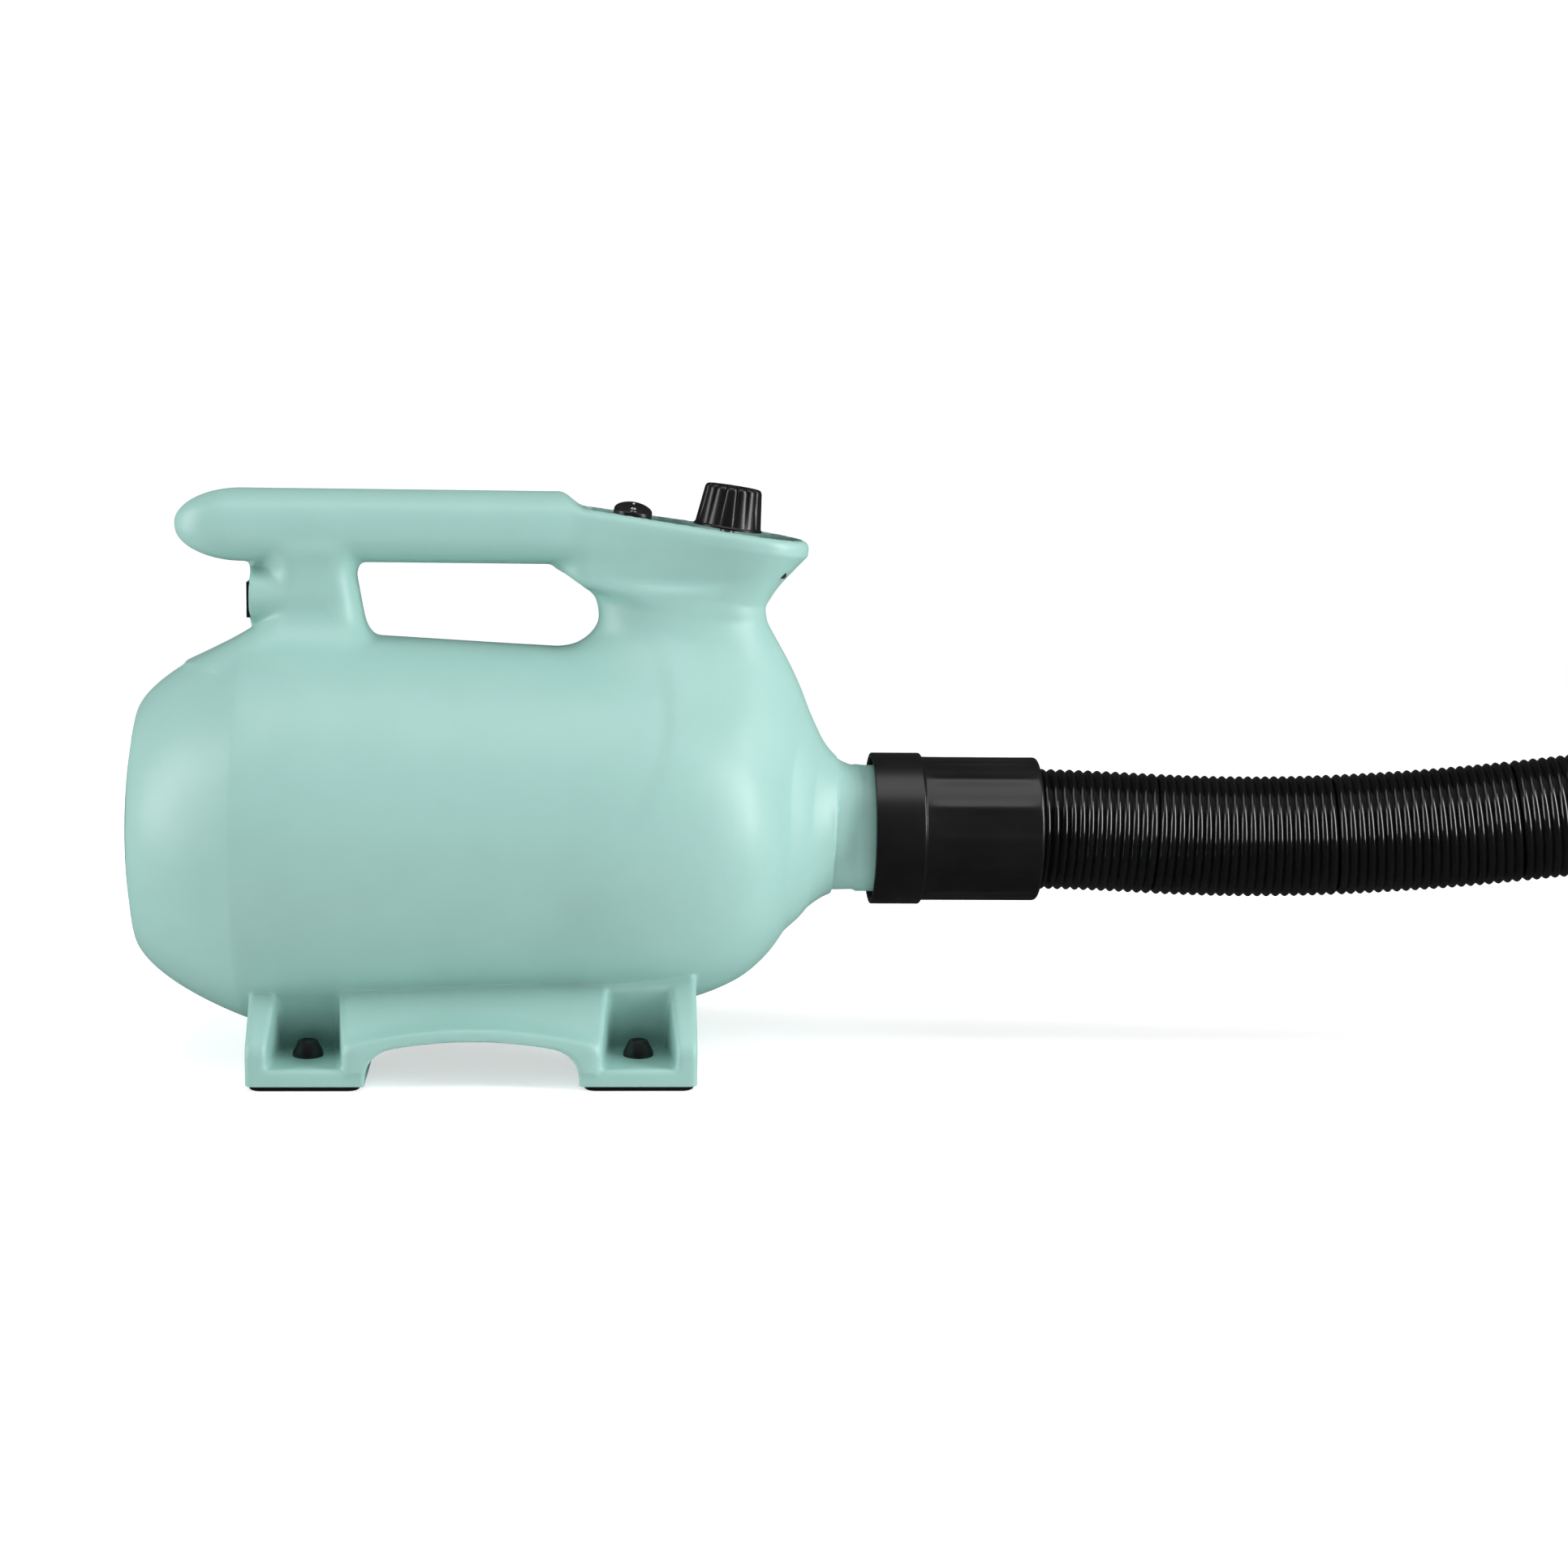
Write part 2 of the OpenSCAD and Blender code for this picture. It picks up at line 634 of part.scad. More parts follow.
module impeller_spacer() {
    color("silver") {
        ring(-103.9, -79.1, shaft_r + 0.05, 8);
        ring(-77.9, -73.2, shaft_r + 0.05, 8);
    }
}
module shaft_nut() {
    color("silver") along_axis() translate([0, 0, -109]) difference() {
        cylinder(r = 8, h = 3.9, $fn = 6);
        translate([0, 0, -1]) cylinder(r = shaft_r + 0.02, h = 8, $fn = 48);
    }
}
module motor_shaft() {
    color("#d5d8da") along_axis() translate([0, 0, -112]) cylinder(r = shaft_r, h = 125, $fn = 64);
}
module ball_bearing(x0, w, r_out) {
    ring(x0, x0 + w, r_out - 2.2, r_out);
    ring(x0, x0 + w, shaft_r + 0.02, shaft_r + 2);
    for (k = [0:6]) along_axis() rotate([0, 0, 360 * k / 7])
        translate([(r_out + shaft_r) / 2 - 0.1, 0, x0 + w / 2])
            sphere(r = (r_out - shaft_r - 4.2) / 2 - 0.05, $fn = 24);
}
module bearing_rear() { color("#cfd3d6") ball_bearing(-73, 6.9, 11); }
module bearing_front() { color("#cfd3d6") ball_bearing(6, 6, 9.5); }
module armature_core() {
    color("#8a8f94") along_axis() translate([0, 0, stack_x[0]]) difference() {
        cylinder(r = 22, h = stack_x[1] - stack_x[0]);
        translate([0, 0, -1]) cylinder(r = shaft_r + 0.02, h = 60);
        for (k = [0:11]) rotate([0, 0, 30 * k]) translate([15, -1.6, -1]) cube([9, 3.2, 60]);
    }
}
module armature_winding() {
    color("#b5622e") {
        ring(stack_x[0] - 5, stack_x[0] - 0.1, 7, 19);
        ring(stack_x[1] + 0.1, stack_x[1] + 5, 7, 19);
    }
}
module commutator() {
    color("#c87f45") along_axis() translate([0, 0, -14]) difference() {
        cylinder(r = 12, h = 15);
        translate([0, 0, -1]) cylinder(r = shaft_r + 0.02, h = 20);
        for (k = [0:11]) rotate([0, 0, 30 * k]) translate([11, -0.3, -1]) cube([3, 0.6, 20]);
    }
}
module stator_core() {
    color("#8a8f94") along_axis() translate([0, 0, stack_x[0]]) difference() {
        cylinder(r = frame_r - 4.3, h = stack_x[1] - stack_x[0]);
        translate([0, 0, -1]) cylinder(r = 22.6, h = 60);
        for (side = [-1, 1]) translate([-15, side * coil_y - 6, -1]) cube([30, 12, 60]);
    }
}
module field_coils() {
    color("#b5622e") along_axis() for (side = [-1, 1]) translate([-14.5, side * coil_y - 5.5, stack_x[0] - 7])
        cube([29, 11, stack_x[1] - stack_x[0] + 14]);
}
module end_bracket() {
    color("#a9adb0") difference() {
        union() {
            ring(end_bracket_x[0] + 0.1, end_bracket_x[1], frame_r - 4, frame_r);
            ring(5, 13, 9.55, 13);
            spokes(4, 12.5, frame_r - 2, 8, 8, 13);
        }
    }
}
module brush_holders() {
    color("#c9a24a") for (side = [-1, 1]) translate([-10.5, side > 0 ? 14 : -37, axis_z - 4.5]) difference() {
        cube([8, 23, 9]);
        translate([0.9, side > 0 ? -1 : 1, 0.9]) cube([6.2, 23, 7.2]);
    }
}
module carbon_brushes() {
    color("#2a2a2c") for (side = [-1, 1])
        translate([-9.5, side > 0 ? 12.1 : -26.1, axis_z - 3.5]) cube([6, 14, 7]);
}
module brush_springs() {
    color("#d0d3d5") for (side = [-1, 1])
        translate([-6.5, side * 26.2, axis_z]) rotate([side > 0 ? -90 : 90, 0, 0])
            linear_extrude(height = 9.5, twist = 360 * spring_turns, slices = 12 * spring_turns, $fn = 12)
                polygon(concat(arc([0, 0], 2.6, 0, 150, 4), arc([0, 0], 1.8, 150, 0, 4)));
}

// ---- Hose coupler, seal and swivel bushing
module hose_coupler() {
    color(black) {
        difference() {
            turned([[mouth_end_x, 31], [mouth_end_x, mouth_r], [coupler_x[0], mouth_r],
                [coupler_x[0], coupler_r[0] - 0.8], [coupler_x[0] + 0.8, coupler_r[0]],
                [coupler_x[1] - 1, coupler_r[0]], [coupler_x[1], coupler_r[1]],
                [coupler_x[2] - 3.5, coupler_r[1]],
                [coupler_x[2] - 1.2, coupler_r[1] - 1], [coupler_x[2], coupler_r[1] - 3.5],
                [coupler_x[2], hose_r + 0.3], [bushing_x[1] + 0.3, hose_r + 0.3], [bushing_x[1] + 0.3, 31],
                [bushing_x[0] - 0.3, 31], [bushing_x[0] - 0.3, neck_bore], [neck_end_x + 0.5, neck_bore],
                [neck_end_x + 0.5, 31]]);
            for (k = [0:13]) along_axis() rotate([0, 0, 360 / 14 * k])
                translate([coupler_r[1] + flute_r - 0.8, 0, coupler_x[1] + 2])
                cylinder(r = flute_r, h = coupler_x[2] - coupler_x[1] - 5);
        }
        for (turn = [0, 180]) along_axis() rotate([0, 0, 90 + turn + lug_angle])
            translate([29.4, -lug_w / 2, lug_x - lug_w / 2]) cube([2.4, lug_w, lug_w]);
    }
}
module coupler_seal() { color("#101012") ring(191.7, 195.3, 28.65, 30.95); }
module hose_bushing() { color("#2b2c2e") ring(bushing_x[0], bushing_x[1], hose_r + 0.05, bushing_r); }

// ---- Hose: straight links between pivots, each with a ball end inside the next link
function heading(i) = [
    cos(link_pitch[i]) * cos(link_yaw[i]), cos(link_pitch[i]) * sin(link_yaw[i]), sin(link_pitch[i])
];
function link_length(i) = i == 0 ? stub_l : link_l;
function pivot(i) = i == 0 ? hose_start : pivot(i - 1) + link_length(i - 1) * heading(i - 1);
module at_link(i) {
    translate(pivot(i)) rotate([0, 0, link_yaw[i]]) rotate([0, 90 - link_pitch[i], 0]) children();
}
module hose_ball() {
    difference() {
        intersection() {
            sphere(r = link_ball_r);
            cylinder(r = 2 * link_ball_r, h = 22, center = true);
        }
        cylinder(r = 22.6, h = 24, center = true);
    }
}
module hose_link(i) {
    start = i == 0 ? -18 : link_gap;
    end = link_length(i) - link_gap;
    color(black) at_link(i) {
        difference() {
            translate([0, 0, start]) cylinder(r = hose_r, h = end - start);
            translate([0, 0, start - 1]) cylinder(r = hose_bore, h = end - start + 2);
        }
        difference() {
            translate([0, 0, end - 5]) cylinder(r = hose_bore + 0.5, h = 4.5);
            translate([0, 0, end - 6]) cylinder(r = 22.6, h = 8);
        }
        translate([0, 0, link_length(i)]) hose_ball();
    }
}
module hose_link_1() { hose_link(0); }
module hose_link_2() { hose_link(1); }
module hose_link_3() { hose_link(2); }
module hose_link_4() { hose_link(3); }
module hose_link_5() { hose_link(4); }
module hose_link_6() { hose_link(5); }
module hose_link_7() { hose_link(6); }
module hose_cuff() {
    color(black) at_link(7) difference() {
        rotate_extrude() polygon([
            [hose_bore + 0.3, link_gap + 1], [hose_r + 3.4, link_gap + 1], [hose_r + 4.4, link_gap + 3],
            [hose_r + 4.4, cuff_l - 3], [hose_r + 2.4, cuff_l], [24.2, cuff_l], [24.2, 24],
            [hose_bore + 0.3, 24]
        ]);
        for (k = [0:13]) rotate([0, 0, 360 / 14 * k]) translate([hose_r + flute_r + 3.6, 0, 12])
            cylinder(r = flute_r, h = cuff_l - 18);
    }
}
module nozzle() {
    tip = cuff_l + nozzle_l;
    color(black) at_link(7) rotate_extrude() polygon([
        [21.2, 26], [24.1, 26], [24.1, cuff_l + 0.2], [27.5, cuff_l + 0.2],
        [27.5, cuff_l + 4], [26, cuff_l + 6], [spigot_r + 1.5, tip - 28], [spigot_r, tip - 27],
        [spigot_r, tip],
        [spigot_r - 2.5, tip], [spigot_r - 2.5, tip - 28], [22.6, cuff_l + 6], [21.2, cuff_l]]);
}

housing_right();
housing_left();
housing_screws();
rear_cover();
intake_filter();
control_panel();
panel_screws();
switch_body();
rocker();
speed_potentiometer();
potentiometer_nut();
knob_shaft();
speed_knob();
circuit_board();
board_components();
heatsink();
power_inlet();
mains_leads();
motor_leads();
rubber_feet();
acoustic_foam();
motor_mount_rear();
motor_mount_front();
fan_case();
motor_frame();
diffuser();
impeller_first();
impeller_second();
impeller_spacer();
shaft_nut();
motor_shaft();
bearing_rear();
bearing_front();
armature_core();
armature_winding();
commutator();
stator_core();
field_coils();
end_bracket();
brush_holders();
carbon_brushes();
brush_springs();
hose_coupler();
coupler_seal();
hose_bushing();
hose_link_1();
hose_link_2();
hose_link_3();
hose_link_4();
hose_link_5();
hose_link_6();
hose_link_7();
hose_cuff();
nozzle();
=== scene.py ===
import json
import math

import bmesh
import bpy
import numpy as np
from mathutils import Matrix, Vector


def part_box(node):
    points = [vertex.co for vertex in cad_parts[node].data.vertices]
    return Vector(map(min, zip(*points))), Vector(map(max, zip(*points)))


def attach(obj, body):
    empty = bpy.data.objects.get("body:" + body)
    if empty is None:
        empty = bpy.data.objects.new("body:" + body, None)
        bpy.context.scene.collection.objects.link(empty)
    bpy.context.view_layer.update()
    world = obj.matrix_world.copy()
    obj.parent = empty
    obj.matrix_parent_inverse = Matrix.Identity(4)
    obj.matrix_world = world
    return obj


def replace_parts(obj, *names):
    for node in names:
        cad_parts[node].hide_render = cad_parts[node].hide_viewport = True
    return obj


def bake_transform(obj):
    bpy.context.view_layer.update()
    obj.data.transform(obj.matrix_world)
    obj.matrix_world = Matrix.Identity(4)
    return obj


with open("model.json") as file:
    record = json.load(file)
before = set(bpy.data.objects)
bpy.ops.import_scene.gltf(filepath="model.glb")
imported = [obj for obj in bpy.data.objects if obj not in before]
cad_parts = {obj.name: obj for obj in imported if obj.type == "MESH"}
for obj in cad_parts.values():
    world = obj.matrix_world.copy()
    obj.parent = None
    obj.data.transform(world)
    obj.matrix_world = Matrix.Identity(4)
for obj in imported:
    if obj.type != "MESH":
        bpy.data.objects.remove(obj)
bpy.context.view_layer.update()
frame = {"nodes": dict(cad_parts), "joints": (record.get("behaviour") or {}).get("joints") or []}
MM = 0.001

# Where the CAD parts stand, in millimetres
axis_z = 1000 * sum(c.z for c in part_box("motor_shaft")) / 2
joint = {j["name"]: j for j in frame["joints"]}
neck_end_x = 1000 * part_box("housing_right")[1].x
cover_r = 1000 * (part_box("rear_cover")[1].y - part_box("rear_cover")[0].y) / 2 + 0.5
grip_top = 1000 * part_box("housing_right")[1].z
grip_tip = -140.6


# ---------------------------------------------------------------- materials
def nodes_of(name):
    mat = bpy.data.materials.new(name)
    mat.use_nodes = True
    tree = mat.node_tree
    return mat, tree, tree.nodes["Principled BSDF"]


def grain(tree, bsdf, scale, depth, detail=3.0, stretch=None):
    """Bumps from noise in the object's own coordinates; scale is in bumps per metre."""
    coords = tree.nodes.new("ShaderNodeTexCoord")
    noise = tree.nodes.new("ShaderNodeTexNoise")
    noise.inputs["Scale"].default_value = scale
    noise.inputs["Detail"].default_value = detail
    source = coords.outputs["Object"]
    if stretch:
        mapping = tree.nodes.new("ShaderNodeMapping")
        mapping.inputs["Scale"].default_value = stretch
        tree.links.new(source, mapping.inputs["Vector"])
        source = mapping.outputs["Vector"]
    tree.links.new(source, noise.inputs["Vector"])
    bump = tree.nodes.new("ShaderNodeBump")
    bump.inputs["Strength"].default_value = 1.0
    bump.inputs["Distance"].default_value = depth
    tree.links.new(noise.outputs["Fac"], bump.inputs["Height"])
    tree.links.new(bump.outputs["Normal"], bsdf.inputs["Normal"])
    return coords, noise


def tint(tree, bsdf, coords, low, high, scale, socket="Base Color"):
    noise = tree.nodes.new("ShaderNodeTexNoise")
    noise.inputs["Scale"].default_value = scale
    noise.inputs["Detail"].default_value = 4
    ramp = tree.nodes.new("ShaderNodeValToRGB")
    ramp.color_ramp.elements[0].position = 0.3
    ramp.color_ramp.elements[1].position = 0.7
    ramp.color_ramp.elements[0].color = (*low, 1)
    ramp.color_ramp.elements[1].color = (*high, 1)
    tree.links.new(coords.outputs["Object"], noise.inputs["Vector"])
    tree.links.new(noise.outputs["Fac"], ramp.inputs["Fac"])
    tree.links.new(ramp.outputs["Color"], bsdf.inputs[socket])


def material(name, low, high, rough, scale=1500, depth=0.00002, metal=0.0, coat=0.0, spec=0.5, patch=40, stretch=None):
    mat, tree, bsdf = nodes_of(name)
    bsdf.inputs["Metallic"].default_value = metal
    bsdf.inputs["Coat Weight"].default_value = coat
    bsdf.inputs["Coat Roughness"].default_value = 0.2
    bsdf.inputs["Specular IOR Level"].default_value = spec
    coords, noise = grain(tree, bsdf, scale, depth, stretch=stretch)
    tint(tree, bsdf, coords, low, high, patch)
    ramp = tree.nodes.new("ShaderNodeMapRange")
    ramp.inputs["To Min"].default_value = rough * 0.85
    ramp.inputs["To Max"].default_value = rough * 1.15
    tree.links.new(noise.outputs["Fac"], ramp.inputs["Value"])
    tree.links.new(ramp.outputs["Result"], bsdf.inputs["Roughness"])
    return mat


casing_mat = material("casing", (0.325, 0.555, 0.508), (0.34, 0.575, 0.528), 0.4, scale=1900, depth=0.00003, coat=0.0, spec=0.45)
panel_mat = material("panel_black", (0.006, 0.006, 0.007), (0.01, 0.01, 0.011), 0.5, scale=2600, depth=0.00003)
control_mat = material("control_black", (0.008, 0.008, 0.009), (0.013, 0.013, 0.014), 0.3, scale=900, depth=0.00001)
fitting_mat = material("fitting_black", (0.005, 0.005, 0.0055), (0.008, 0.008, 0.009), 0.33, scale=1300, depth=0.00002)
hose_mat = material("hose_black", (0.003, 0.003, 0.0035), (0.006, 0.006, 0.0065), 0.16, scale=500, depth=0.00002)
rubber_mat = material("rubber_black", (0.004, 0.004, 0.0045), (0.008, 0.008, 0.0085), 0.38, scale=1600, depth=0.00004)
mark_mat = material("mark_white", (0.7, 0.7, 0.69), (0.78, 0.78, 0.77), 0.5, scale=2600, depth=0.00001)
filter_mat = material("filter_foam", (0.02, 0.022, 0.024), (0.06, 0.065, 0.07), 0.9, scale=700, depth=0.0012, patch=500)
foam_mat = material("sound_foam", (0.04, 0.045, 0.045), (0.09, 0.095, 0.09), 0.95, scale=500, depth=0.001, patch=400)
steel_mat = material("zinc_steel", (0.5, 0.5, 0.51), (0.68, 0.68, 0.69), 0.3, scale=900, metal=1.0, stretch=(0.1, 1, 1))
iron_mat = material("laminations", (0.2, 0.2, 0.21), (0.36, 0.36, 0.38), 0.45, scale=1800, depth=0.0001, metal=1.0, stretch=(1, 0.02, 0.02))
alloy_mat = material("alloy", (0.55, 0.56, 0.57), (0.72, 0.73, 0.74), 0.35, scale=800, metal=1.0, stretch=(0.15, 1, 1))
copper_mat = material("copper", (0.5, 0.2, 0.08), (0.75, 0.36, 0.17), 0.35, scale=1500, depth=0.0002, metal=1.0, stretch=(0.05, 1, 1))
brass_mat = material("brass", (0.55, 0.4, 0.14), (0.72, 0.55, 0.24), 0.32, scale=900, metal=1.0)
carbon_mat = material("carbon", (0.02, 0.02, 0.02), (0.045, 0.045, 0.045), 0.6, scale=2500, depth=0.00005)
board_mat = material("board", (0.01, 0.12, 0.04), (0.02, 0.2, 0.07), 0.3, scale=600, patch=300)
component_mat = material("component", (0.4, 0.25, 0.05), (0.5, 0.33, 0.09), 0.35)
wire_mat = material("wire", (0.1, 0.03, 0.015), (0.14, 0.045, 0.02), 0.45)


# ---------------------------------------------------------------- mesh helpers
def new_object(name, verts, faces, mat, body, sharp=40, frame_to=None):
    """verts are in millimetres in the row frame, or in a local frame that frame_to turns into it."""
    if frame_to is not None:
        verts = frame_to(np.asarray(verts, float))
    mesh = bpy.data.meshes.new(name)
    mesh.from_pydata([tuple(v) for v in np.asarray(verts, float) * MM], [], faces)
    mesh.validate()
    bm = bmesh.new()
    bm.from_mesh(mesh)
    bmesh.ops.remove_doubles(bm, verts=bm.verts, dist=1e-6)
    bmesh.ops.recalc_face_normals(bm, faces=bm.faces)
    bm.to_mesh(mesh)
    bm.free()
    mesh.shade_smooth()
    mesh.set_sharp_from_angle(angle=math.radians(sharp))
    mesh.materials.append(mat)
    obj = bpy.data.objects.new(name, mesh)
    bpy.context.scene.collection.objects.link(obj)
    if body:
        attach(obj, body)
    return obj


def along_x(v):
    """Local z becomes x on the barrel's axis; local x and y turn about it."""
    return np.stack([v[:, 2], v[:, 1], axis_z - v[:, 0]], 1)


def frame_at(origin, u, v, w):
    o, u, v, w = (np.asarray(a, float) for a in (origin, u, v, w))
    return lambda p: o + p[:, :1] * u + p[:, 1:2] * v + p[:, 2:3] * w


def rounded_line(points, radii, n=5):
    """Rounds the corners of an open or closed [r, z] line; radii has one value per point."""
    out = []
    for i, p in enumerate(points):
        p = np.array(p, float)
        r = radii[i] if i < len(radii) else 0
        if r <= 0 or i == 0 or i == len(points) - 1:
            out.append(p)
            continue
        a = np.array(points[i - 1], float) - p
        b = np.array(points[i + 1], float) - p
        la, lb = np.linalg.norm(a), np.linalg.norm(b)
        r = min(r, la * 0.49, lb * 0.49)
        p0, p1 = p + a / la * r, p + b / lb * r
        for k in range(n + 1):
            t = k / n
            out.append((1 - t) ** 2 * p0 + 2 * t * (1 - t) * p + t * t * p1)
    return np.array(out)


def lathe(line, count, wave=None, closed=True):
    """Turns an [r, z] line about z. wave(angle, r, z) returns the radius to use."""
    verts, faces = [], []
    angles = np.linspace(0, 2 * math.pi, count, endpoint=False)
    m = len(line)
    for a in angles:
        for r, z in line:
            rr = wave(a, r, z) if wave else r
            verts.append((rr * math.cos(a), rr * math.sin(a), z))
    last = m if closed else m - 1
    for i in range(count):
        for k in range(last):
            a, b = i * m + k, i * m + (k + 1) % m
            c, d = ((i + 1) % count) * m + (k + 1) % m, ((i + 1) % count) * m + k
            faces.append((a, b, c, d))
    return verts, faces


# ---------------------------------------------------------------- shapes as signed distances
def smin(a, b, k):
    h = np.clip(0.5 + 0.5 * (b - a) / k, 0, 1)
    return b * (1 - h) + a * h - k * h * (1 - h)


def smax(a, b, k):
    return -smin(-a, -b, k)


def step01(x, a, b):
    t = np.clip((x - a) / (b - a), 0, 1)
    return t * t * (3 - 2 * t)


def rect(p, q, a, b, r):
    """A rounded rectangle with half sizes a and b."""
    dx, dy = np.abs(p) - (a - r), np.abs(q) - (b - r)
    return np.hypot(np.maximum(dx, 0), np.maximum(dy, 0)) + np.minimum(np.maximum(dx, dy), 0) - r


def block(x, y, z, a, b, c, r):
    dx, dy, dz = np.abs(x) - (a - r), np.abs(y) - (b - r), np.abs(z) - (c - r)
    out = np.sqrt(np.maximum(dx, 0) ** 2 + np.maximum(dy, 0) ** 2 + np.maximum(dz, 0) ** 2)
    return out + np.minimum(np.maximum(dx, np.maximum(dy, dz)), 0) - r


def bezier(p, t):
    p = np.array(p, float)
    t = np.asarray(t)[:, None]
    return (1 - t) ** 3 * p[0] + 3 * (1 - t) ** 2 * t * p[1] + 3 * (1 - t) * t * t * p[2] + t ** 3 * p[3]


class Profile:
    """Signed distance to a closed outline, kept on a fine lattice and read back by interpolation."""

    def __init__(self, points, margin=30.0, h=0.5):
        pts = np.array(points, float)
        self.lo = pts.min(0) - margin
        self.h = h
        n = np.ceil((pts.max(0) + margin - self.lo) / h).astype(int) + 1
        gx = self.lo[0] + h * np.arange(n[0])[:, None]
        gy = self.lo[1] + h * np.arange(n[1])[None, :]
        best = np.full((n[0], n[1]), 1e9)
        inside = np.zeros((n[0], n[1]), bool)
        for a, b in zip(pts, np.roll(pts, -1, 0)):
            e = b - a
            t = np.clip(((gx - a[0]) * e[0] + (gy - a[1]) * e[1]) / max(e @ e, 1e-12), 0, 1)
            best = np.minimum(best, np.hypot(gx - a[0] - t * e[0], gy - a[1] - t * e[1]))
            if a[1] != b[1]:
                cross = ((a[1] > gy) != (b[1] > gy)) & (gx < (b[0] - a[0]) * (gy - a[1]) / (b[1] - a[1]) + a[0])
                inside ^= cross
        self.d = np.where(inside, -best, best)

    def __call__(self, u, v):
        fu = np.clip((u - self.lo[0]) / self.h, 0, self.d.shape[0] - 1.001)
        fv = np.clip((v - self.lo[1]) / self.h, 0, self.d.shape[1] - 1.001)
        i, j = fu.astype(int), fv.astype(int)
        a, b = fu - i, fv - j
        d = self.d
        return (d[i, j] * (1 - a) * (1 - b) + d[i + 1, j] * a * (1 - b) + d[i, j + 1] * (1 - a) * b
                + d[i + 1, j + 1] * a * b)


t = np.linspace(0, 1, 25)[1:]
rear_x, nose_x = -162.0, 168.0
half_line = np.vstack([
    [[rear_x, 0], [rear_x, 26]],
    bezier([[rear_x, 26], [-161.6, 44], [-159.5, 53], [-156, 59]], t),
    bezier([[-156, 59], [-151, 67.5], [-135, 79.5], [-107.5, 90.2]], t),
    bezier([[-107.5, 90.2], [-92, 94.2], [-30, 88.4], [46.5, 85.3]], t),
    bezier([[46.5, 85.3], [84, 84.6], [113, 79.0], [132.7, 62.6]], t),
    bezier([[132.7, 62.6], [138, 58.4], [141.5, 54], [144.5, 49.4]], t),
    bezier([[144.5, 49.4], [147.5, 46.8], [151.5, 44.2], [155.8, 38.4]], t),
    bezier([[155.8, 38.4], [159, 35.6], [163, 32.8], [167.2, 31.3]], t),
    [[167.5, 29.4]],
    [[177.5, 29.2], [179.5, 30.1], [neck_end_x - 1, 30.1], [neck_end_x, 29.2], [neck_end_x, 0]],
])
barrel_profile = Profile(np.vstack([half_line, half_line[::-1] * [1, -1]]))

RIM = np.array([105.0, 0.0, 251.5])
TILT = math.radians(8)
PANEL_U = np.array([math.cos(TILT), 0, -math.sin(TILT)])
PANEL_W = np.array([math.sin(TILT), 0, math.cos(TILT)])
PANEL_V = np.array([0, 1.0, 0])
EGG_FRONT, EGG_REAR, EGG_FRONT_R, EGG_REAR_R = 21.6, -47.0, 29.2, 18.0
NECK_BORE = 26.0


def along_panel(name):
    """How far down the panel a joint's pivot lies."""
    return float((1000 * np.array(joint[name]["pos_m"]) - RIM) @ PANEL_U)


SWITCH_U, KNOB_U = along_panel("rocker_tip"), along_panel("knob_turn")
WALL = 3.2


def egg(u, v, shrink=0.0):
    """Signed distance to the bowl's outline: two arcs joined by tangents. shrink draws the front arc in and back."""
    length = EGG_FRONT - shrink - EGG_REAR
    front_r = EGG_FRONT_R - shrink
    p, q = np.abs(v), EGG_FRONT - shrink - u
    b = (front_r - EGG_REAR_R) / length
    a = np.sqrt(1 - b * b)
    k = p * -b + q * a
    return np.where(k < 0, np.hypot(p, q) - front_r,
                    np.where(k > a * length, np.hypot(p, q - length) - EGG_REAR_R, p * a + q * b - front_r))


# The head seen from the side: window end, tower front, pinch and the bowl's underside
head_profile = Profile(np.vstack([
    [[0, 233.6], [20, 233.6]],
    bezier([[20, 233.6], [34, 233.2], [43, 228.6], [50, 221.5]], t),
    bezier([[50, 221.5], [55.5, 216], [57.6, 209], [54.5, 202]], t),
    [[52, 196], [46, 170], [60, 110], [150, 96], [172, 128]],
    bezier([[172, 128], [164, 146], [158.5, 162], [153.8, 173.5]], t),
    bezier([[153.8, 173.5], [148.5, 187], [140, 199.5], [136, 207.5]], t),
    bezier([[136, 207.5], [134.4, 211], [134.0, 213.6], [136, 216]], t),
    [[142.2, 222.2], [150.6, 230.9], [175, 255.6], [175, 300], [0, 300]],
]))
# Where the hood's soft edge runs down the side of the barrel
hood_profile = Profile(np.vstack([
    bezier([[72, 222], [78, 206], [87, 186], [85.2, 163.3]], t),
    bezier([[85.2, 163.3], [84, 143], [66, 112], [42, 95]], t),
    [[10, 76], [10, 20], [230, 20], [230, 222]],
]))
TOWER_Z = [80, 120, 140, 152.9, 172.6, 186.9, 198.4, 209, 215.6, 240]
TOWER_FRONT = [172, 170, 165.6, 160.8, 154.2, 147.8, 141.5, 135.6, 134, 134]
TOWER_HALF = [16, 34, 43, 48, 44, 35.5, 28.5, 24.5, 23.5, 23.5]
TOWER_MIDDLE = 98.0
ARCH_TOP, FOOT_X, BASE_END, BASE_SIDE, LEDGE = 22.8, 75.45, 101.9, 85.0, 19.6


